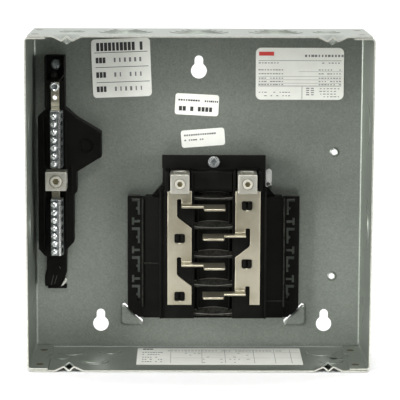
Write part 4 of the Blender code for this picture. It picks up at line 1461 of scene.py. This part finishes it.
slotted_screws = slotted_screw_tree()
slot_turns = random.Random(8)
head_height = 2.0 * mm
for i in range(1, 2 * terminal_count + 1):
    node = f"terminal_screw_{i:02d}"
    low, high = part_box(node)
    screw = grow(
        f"terminal_slotted_screw_{i:02d}", slotted_screws,
        {
            "Shank Length": high.y - low.y - head_height,
            "Turn": slot_turns.uniform(0.0, math.pi),
            "Place": ((low.x + high.x) / 2, low.y + head_height, (low.z + high.z) / 2),
            "Metal": zinc_plate,
        },
        30,
    )
    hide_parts(node)
    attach(screw, node + "_body")

# --- Fixed fasteners --------------------------------------------------------------------------
# The slotted screw in the insulator's foot, the square-drive screw in the base's head and the
# tubular rivet through the strap, all zinc-plated steel.

# A dark steel: the foot screw's own oiled finish, and painted shade on the floors of the head screw's
# recess and the rivet's hollow.
oiled_steel_and_painted_shade = finish(
    "oiled_steel_and_painted_shade", (0.15, 0.165, 0.168), (0.36, 0.39, 0.39), (0.3, 0.5), 0.8,
    grain=1800.0, blotch=500.0, bump=0.3,
)
low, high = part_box("insulator_screw")
foot_screw = grow(
    "foot_screw", slotted_screws,
    {
        "Head Radius": 4.7 * mm,
        "Head Height": 2.6 * mm,
        "Shank Radius": 2.2 * mm,
        "Shank Length": 9.0 * mm,
        "Slot Width": 1.2 * mm,
        "Turn": 0.18,
        "Place": ((low.x + high.x) / 2, -13.3 * mm, (low.z + high.z) / 2),
        "Metal": oiled_steel_and_painted_shade,
    },
    30,
)
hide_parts("insulator_screw")
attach(foot_screw, "box")

# The last rings, the square recess, take the dark steel: painted shade in the recess.
head_rings = [
    (0.0, -18.6), (2.0, -18.0), (2.0, 0.0), (5.1, 0.0), (5.1, 0.5), (4.9, 1.2), (4.4, 1.7),
    (3.6, 1.9), (3.2, 1.9, 4), (3.0, 1.5, 4), (2.9, 0.2, 4, 1), (0.0, 0.0, 4, 1),
]
head_place = (13.0 * mm, -24.3 * mm, 28.2 * mm)
head_screw = lofted_piece("head_screw", head_rings, head_place, (zinc_plate, oiled_steel_and_painted_shade))
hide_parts("base_screw")
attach(head_screw, "box")

# The rivet's inner rings take the dark steel: painted shade in its hollow.
rivet_rings = [
    (0.0, -6.0), (1.7, -6.0), (1.7, 0.0), (4.1, 0.0), (4.1, 0.5), (3.7, 0.9), (3.5, 1.6),
    (3.0, 2.0), (2.4, 1.8), (2.1, 1.2, 0, 1), (1.6, 0.5, 0, 1), (0.0, 0.4, 0, 1),
]
rivet_place = (-123.7 * mm, -22.0 * mm, 92.7 * mm)
rivet = lofted_piece("rivet", rivet_rings, rivet_place, (zinc_plate, oiled_steel_and_painted_shade))
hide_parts("neutral_rivet")
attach(rivet, "box")

# --- Locating tag -----------------------------------------------------------------------------
# A white nylon tag with a small eye, beside the base's head. A leg moulded behind it stands it off
# the back wall.

white_nylon = finish(
    "white_nylon", (0.66, 0.66, 0.63), (0.8, 0.8, 0.77), (0.35, 0.5), 0.0,
    grain=900.0, blotch=150.0, bump=0.15,
)
tag_outline = in_mm([(58.4, 3.4), (63.6, 6.0)] + arc((60.9, 17.7), 2.5, -10, 180, 12))
eye_at = (60.5 * mm, 6.9 * mm)
eye = circle(eye_at, 0.8 * mm, 20)
tag_plate = cut_plate("tag", [tag_outline, eye], -8.4 * mm, -7.2 * mm, 0.3 * mm)
eye_rim = [circle(eye_at, 1.5 * mm, 20), eye]
tag_eye = cut_plate("tag_eye", eye_rim, -8.8 * mm, -8.0 * mm, 0.1 * mm)
tag_leg = brick((62.4, 63.8), (-7.6, -1.6), (8.6, 17.6), 0.3)
coat(tag_plate, white_nylon)
coat(tag_leg, white_nylon)
coat(tag_eye, black_moulding)
tag = joined("nylon_tag", [tag_plate, tag_leg, tag_eye])
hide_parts("locating_tag")
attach(tag, "box")

# --- Labels -----------------------------------------------------------------------------------
# Self-adhesive printed paper, four on the back wall and one on the bottom wall. The print is
# generic: rules, and rows of short bars where words would stand.

paper = finish(
    "label_paper", (0.71, 0.72, 0.66), (0.77, 0.78, 0.72), (0.45, 0.65), 0.0,
    grain=1400.0, blotch=90.0, bump=0.1,
)


def ink(name, dark, light):
    """Printing ink, dull on the paper."""
    return finish(name, dark, light, (0.5, 0.7), 0.0, grain=1500.0, blotch=600.0, bump=0.1)


black_ink = ink("black_ink", (0.012, 0.012, 0.013), (0.03, 0.03, 0.03))
grey_ink = ink("grey_ink", (0.1, 0.1, 0.1), (0.2, 0.2, 0.2))
red_ink = ink("red_ink", (0.5, 0.03, 0.025), (0.6, 0.06, 0.05))


def print_tree():
    """A block of print: rows of bars of random length, some of them left out."""
    tree, entry, leave = geometry_tree(
        "printed_bars",
        (
            ("Width", "NodeSocketFloat", 20 * mm),
            ("Height", "NodeSocketFloat", 5 * mm),
            ("Columns", "NodeSocketInt", 6),
            ("Rows", "NodeSocketInt", 2),
            ("Bar Length", "NodeSocketFloat", 2 * mm),
            ("Bar Height", "NodeSocketFloat", 1 * mm),
            ("Shortest", "NodeSocketFloat", 0.4),
            ("Fill", "NodeSocketFloat", 0.9),
            ("Seed", "NodeSocketInt", 1),
            ("Ink", "NodeSocketMaterial", None),
        ),
    )
    new = tree.nodes.new
    points = new("GeometryNodeMeshGrid")
    chance = new("FunctionNodeRandomValue")
    chance.data_type = "BOOLEAN"
    length = new("FunctionNodeRandomValue")
    length.data_type = "FLOAT"
    length.inputs[3].default_value = 1.0
    stretch = new("ShaderNodeCombineXYZ")
    stretch.inputs["Y"].default_value = 1.0
    stretch.inputs["Z"].default_value = 1.0
    bar = new("GeometryNodeMeshCube")
    bar_size = new("ShaderNodeCombineXYZ")
    bar_size.inputs["Z"].default_value = 0.05 * mm
    place = new("GeometryNodeInstanceOnPoints")
    real = new("GeometryNodeRealizeInstances")
    paint = new("GeometryNodeSetMaterial")
    wire(tree, (
        (entry.outputs["Width"], points.inputs["Size X"]),
        (entry.outputs["Height"], points.inputs["Size Y"]),
        (entry.outputs["Columns"], points.inputs["Vertices X"]),
        (entry.outputs["Rows"], points.inputs["Vertices Y"]),
        (entry.outputs["Fill"], chance.inputs["Probability"]),
        (entry.outputs["Seed"], chance.inputs["Seed"]),
        (entry.outputs["Seed"], length.inputs["Seed"]),
        (entry.outputs["Shortest"], length.inputs[2]),
        (length.outputs[1], stretch.inputs["X"]),
        (entry.outputs["Bar Length"], bar_size.inputs["X"]),
        (entry.outputs["Bar Height"], bar_size.inputs["Y"]),
        (bar_size.outputs["Vector"], bar.inputs["Size"]),
        (points.outputs["Mesh"], place.inputs["Points"]),
        (chance.outputs[3], place.inputs["Selection"]),
        (bar.outputs["Mesh"], place.inputs["Instance"]),
        (stretch.outputs["Vector"], place.inputs["Scale"]),
        (place.outputs["Instances"], real.inputs["Geometry"]),
        (real.outputs["Geometry"], paint.inputs["Geometry"]),
        (entry.outputs["Ink"], paint.inputs["Material"]),
        (paint.outputs["Geometry"], leave.inputs["Geometry"]),
    ))
    return tree


printing = print_tree()
paper_half = 0.13 * mm


def words(x, z, width, height, columns, rows, bar, colour=None, seed=1, shortest=0.45, fill=0.92):
    """A block of print centred at (x, z) on a label's face, all sizes in millimetres."""
    block = grow(
        "print", printing,
        {
            "Width": max(width - bar[0], 0.0) * mm,
            "Height": height * mm,
            "Columns": columns,
            "Rows": rows,
            "Bar Length": bar[0] * mm,
            "Bar Height": bar[1] * mm,
            "Shortest": shortest,
            "Fill": fill,
            "Seed": seed,
            "Ink": colour or black_ink,
        },
    )
    block.data.transform(Matrix.Translation((x * mm, z * mm, 0.0)))
    return block


def rule(x, z, length, weight=0.35, colour=None, upright=False):
    """One straight printed line."""
    bar = (weight, length) if upright else (length, weight)
    return words(x, z, bar[0], 0.0, 1, 1, bar, colour, shortest=1.0, fill=1.0)


def stick(name, node, size, turn, marks, corner=3.2, flat=False):
    """A rounded paper label with its print, laid in the place of its CAD node."""
    low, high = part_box(node)
    middle = (low + high) / 2
    half = (size[0] / 2 * mm, size[1] / 2 * mm)
    outline = rounded((-half[0], -half[1]), half, corner * mm, 6)
    face = cut_plate("paper", [outline], -paper_half, paper_half, 0.04 * mm, "Z")
    coat(face, paper)
    for mark in marks:
        mark.data.transform(Matrix.Translation((0.0, 0.0, paper_half)))
    label = joined(name, [face] + marks)
    stand = Matrix.Identity(4) if flat else FACING["Y"].to_4x4()
    tilt = Matrix.Rotation(math.radians(turn), 4, "Z")
    label.data.transform(Matrix.Translation(middle) @ stand @ tilt)
    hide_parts(node)
    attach(label, "box")


circuit_marks = [
    words(-1.0, 18.6, 47.0, 0.0, 14, 1, (2.8, 7.2), seed=3, shortest=0.78, fill=0.94),
    rule(0.0, 13.6, 46.0, 0.5),
    rule(0.5, 0.9, 46.0, 0.5),
    rule(1.0, -12.2, 46.0, 0.5),
]
for row, z in enumerate((7.0, -5.6, -18.0)):
    circuit_marks.append(words(-17.8, z, 8.6, 0.0, 3, 1, (2.6, 4.9), None, 5 + row, 0.85, 1.0))
    circuit_marks.append(words(5.5, z, 24.0, 0.0, 6, 1, (1.9, 3.7), grey_ink, 11 + row, 0.5, 0.7))
stick("circuit_paper", "circuit_label", (51.0, 50.7), 2.2, circuit_marks, 3.4)

rating_marks = [
    rule(-29.0, 17.4, 13.0, 3.4, red_ink),
    words(21.0, 15.6, 34.0, 0.0, 12, 1, (2.5, 2.0), grey_ink, 9, 0.5, 1.0),
    rule(0.0, 11.4, 72.0, 0.35),
    words(-27.0, 9.4, 18.0, 0.0, 7, 1, (2.3, 0.8), grey_ink, 4),
    words(27.0, 9.4, 16.0, 0.0, 6, 1, (2.3, 0.8), grey_ink, 6),
    rule(18.0, 2.0, 38.0, 0.2, grey_ink),
    rule(0.0, -2.4, 72.0, 0.25, grey_ink),
    rule(0.0, -5.2, 72.0, 0.25, grey_ink),
    rule(0.0, -8.2, 72.0, 0.25, grey_ink),
    rule(0.0, -10.6, 72.0, 0.4),
    rule(2.0, -16.4, 11.0, 0.4, None, True),
]
for row, z in enumerate((3.4, 0.0, -3.8, -6.7, -9.4)):
    rating_marks.append(words(-25.0, z, 22.0, 0.0, 9, 1, (2.3, 0.8), grey_ink, 21 + row))
    rating_marks.append(words(26.0, z, 20.0, 0.0, 8, 1, (2.3, 0.8), grey_ink, 31 + row))
rating_marks.append(words(-22.0, -17.6, 28.0, 3.0, 11, 2, (2.3, 0.7), grey_ink, 41, 0.4, 0.6))
rating_marks.append(words(26.0, -16.4, 18.0, 7.0, 6, 4, (2.6, 0.7), grey_ink, 43, 0.4, 0.8))
rating_marks.append(words(9.0, -15.4, 7.0, 5.6, 2, 4, (3.0, 0.9), grey_ink, 45, 0.7, 1.0))
stick("rating_paper", "rating_label", (76.3, 45.1), 0.0, rating_marks, 4.6)

caution_marks = [
    words(-7.0, 3.6, 19.0, 0.0, 9, 1, (1.9, 1.5), None, 51, 0.6, 1.0),
    words(12.4, 3.4, 12.0, 0.0, 7, 1, (1.6, 1.6), None, 52, 0.6, 1.0),
    words(-1.0, -3.8, 29.0, 0.0, 9, 1, (2.8, 4.0), None, 53, 0.8, 0.94),
]
stick("caution_paper", "caution_label", (38.0, 18.5), -2.9, caution_marks, 2.4)

inspection_marks = [
    words(-2.5, 3.2, 28.0, 0.0, 14, 1, (1.9, 1.5), grey_ink, 61, 0.6, 1.0),
    words(-8.0, -1.2, 17.0, 0.0, 9, 1, (1.8, 1.3), grey_ink, 62, 0.6, 0.8),
]
stick("inspection_paper", "inspection_label", (38.0, 15.2), 4.5, inspection_marks, 2.4)

directory_marks = [rule(14.0, z, 112.0, 0.4, grey_ink) for z in (24.0, 15.0, -6.0)]
for x in (-42.0, -15.0, 5.0, 30.0, 48.0, 62.0):
    directory_marks.append(rule(x, 0.0, 50.0, 0.35, grey_ink, True))
directory_marks += [
    words(-62.0, 26.0, 9.0, 0.0, 3, 1, (2.8, 3.6), black_ink, 71, 0.9, 1.0),
    words(-58.0, 10.0, 18.0, 8.0, 8, 2, (2.2, 2.4), grey_ink, 72, 0.5, 0.8),
    words(-58.0, -12.0, 18.0, 16.0, 8, 3, (2.2, 2.4), grey_ink, 73, 0.5, 0.75),
    words(5.0, 20.0, 100.0, 0.0, 34, 1, (2.6, 1.8), grey_ink, 74, 0.5, 0.75),
    words(-4.0, 4.0, 60.0, 14.0, 16, 3, (2.8, 1.6), grey_ink, 75, 0.5, 0.4),
    words(-4.0, -17.0, 60.0, 12.0, 16, 2, (2.8, 1.6), grey_ink, 76, 0.5, 0.3),
]
stick("directory_paper", "directory_label", (142.3, 60.0), 0.0, directory_marks, 0.6, True)
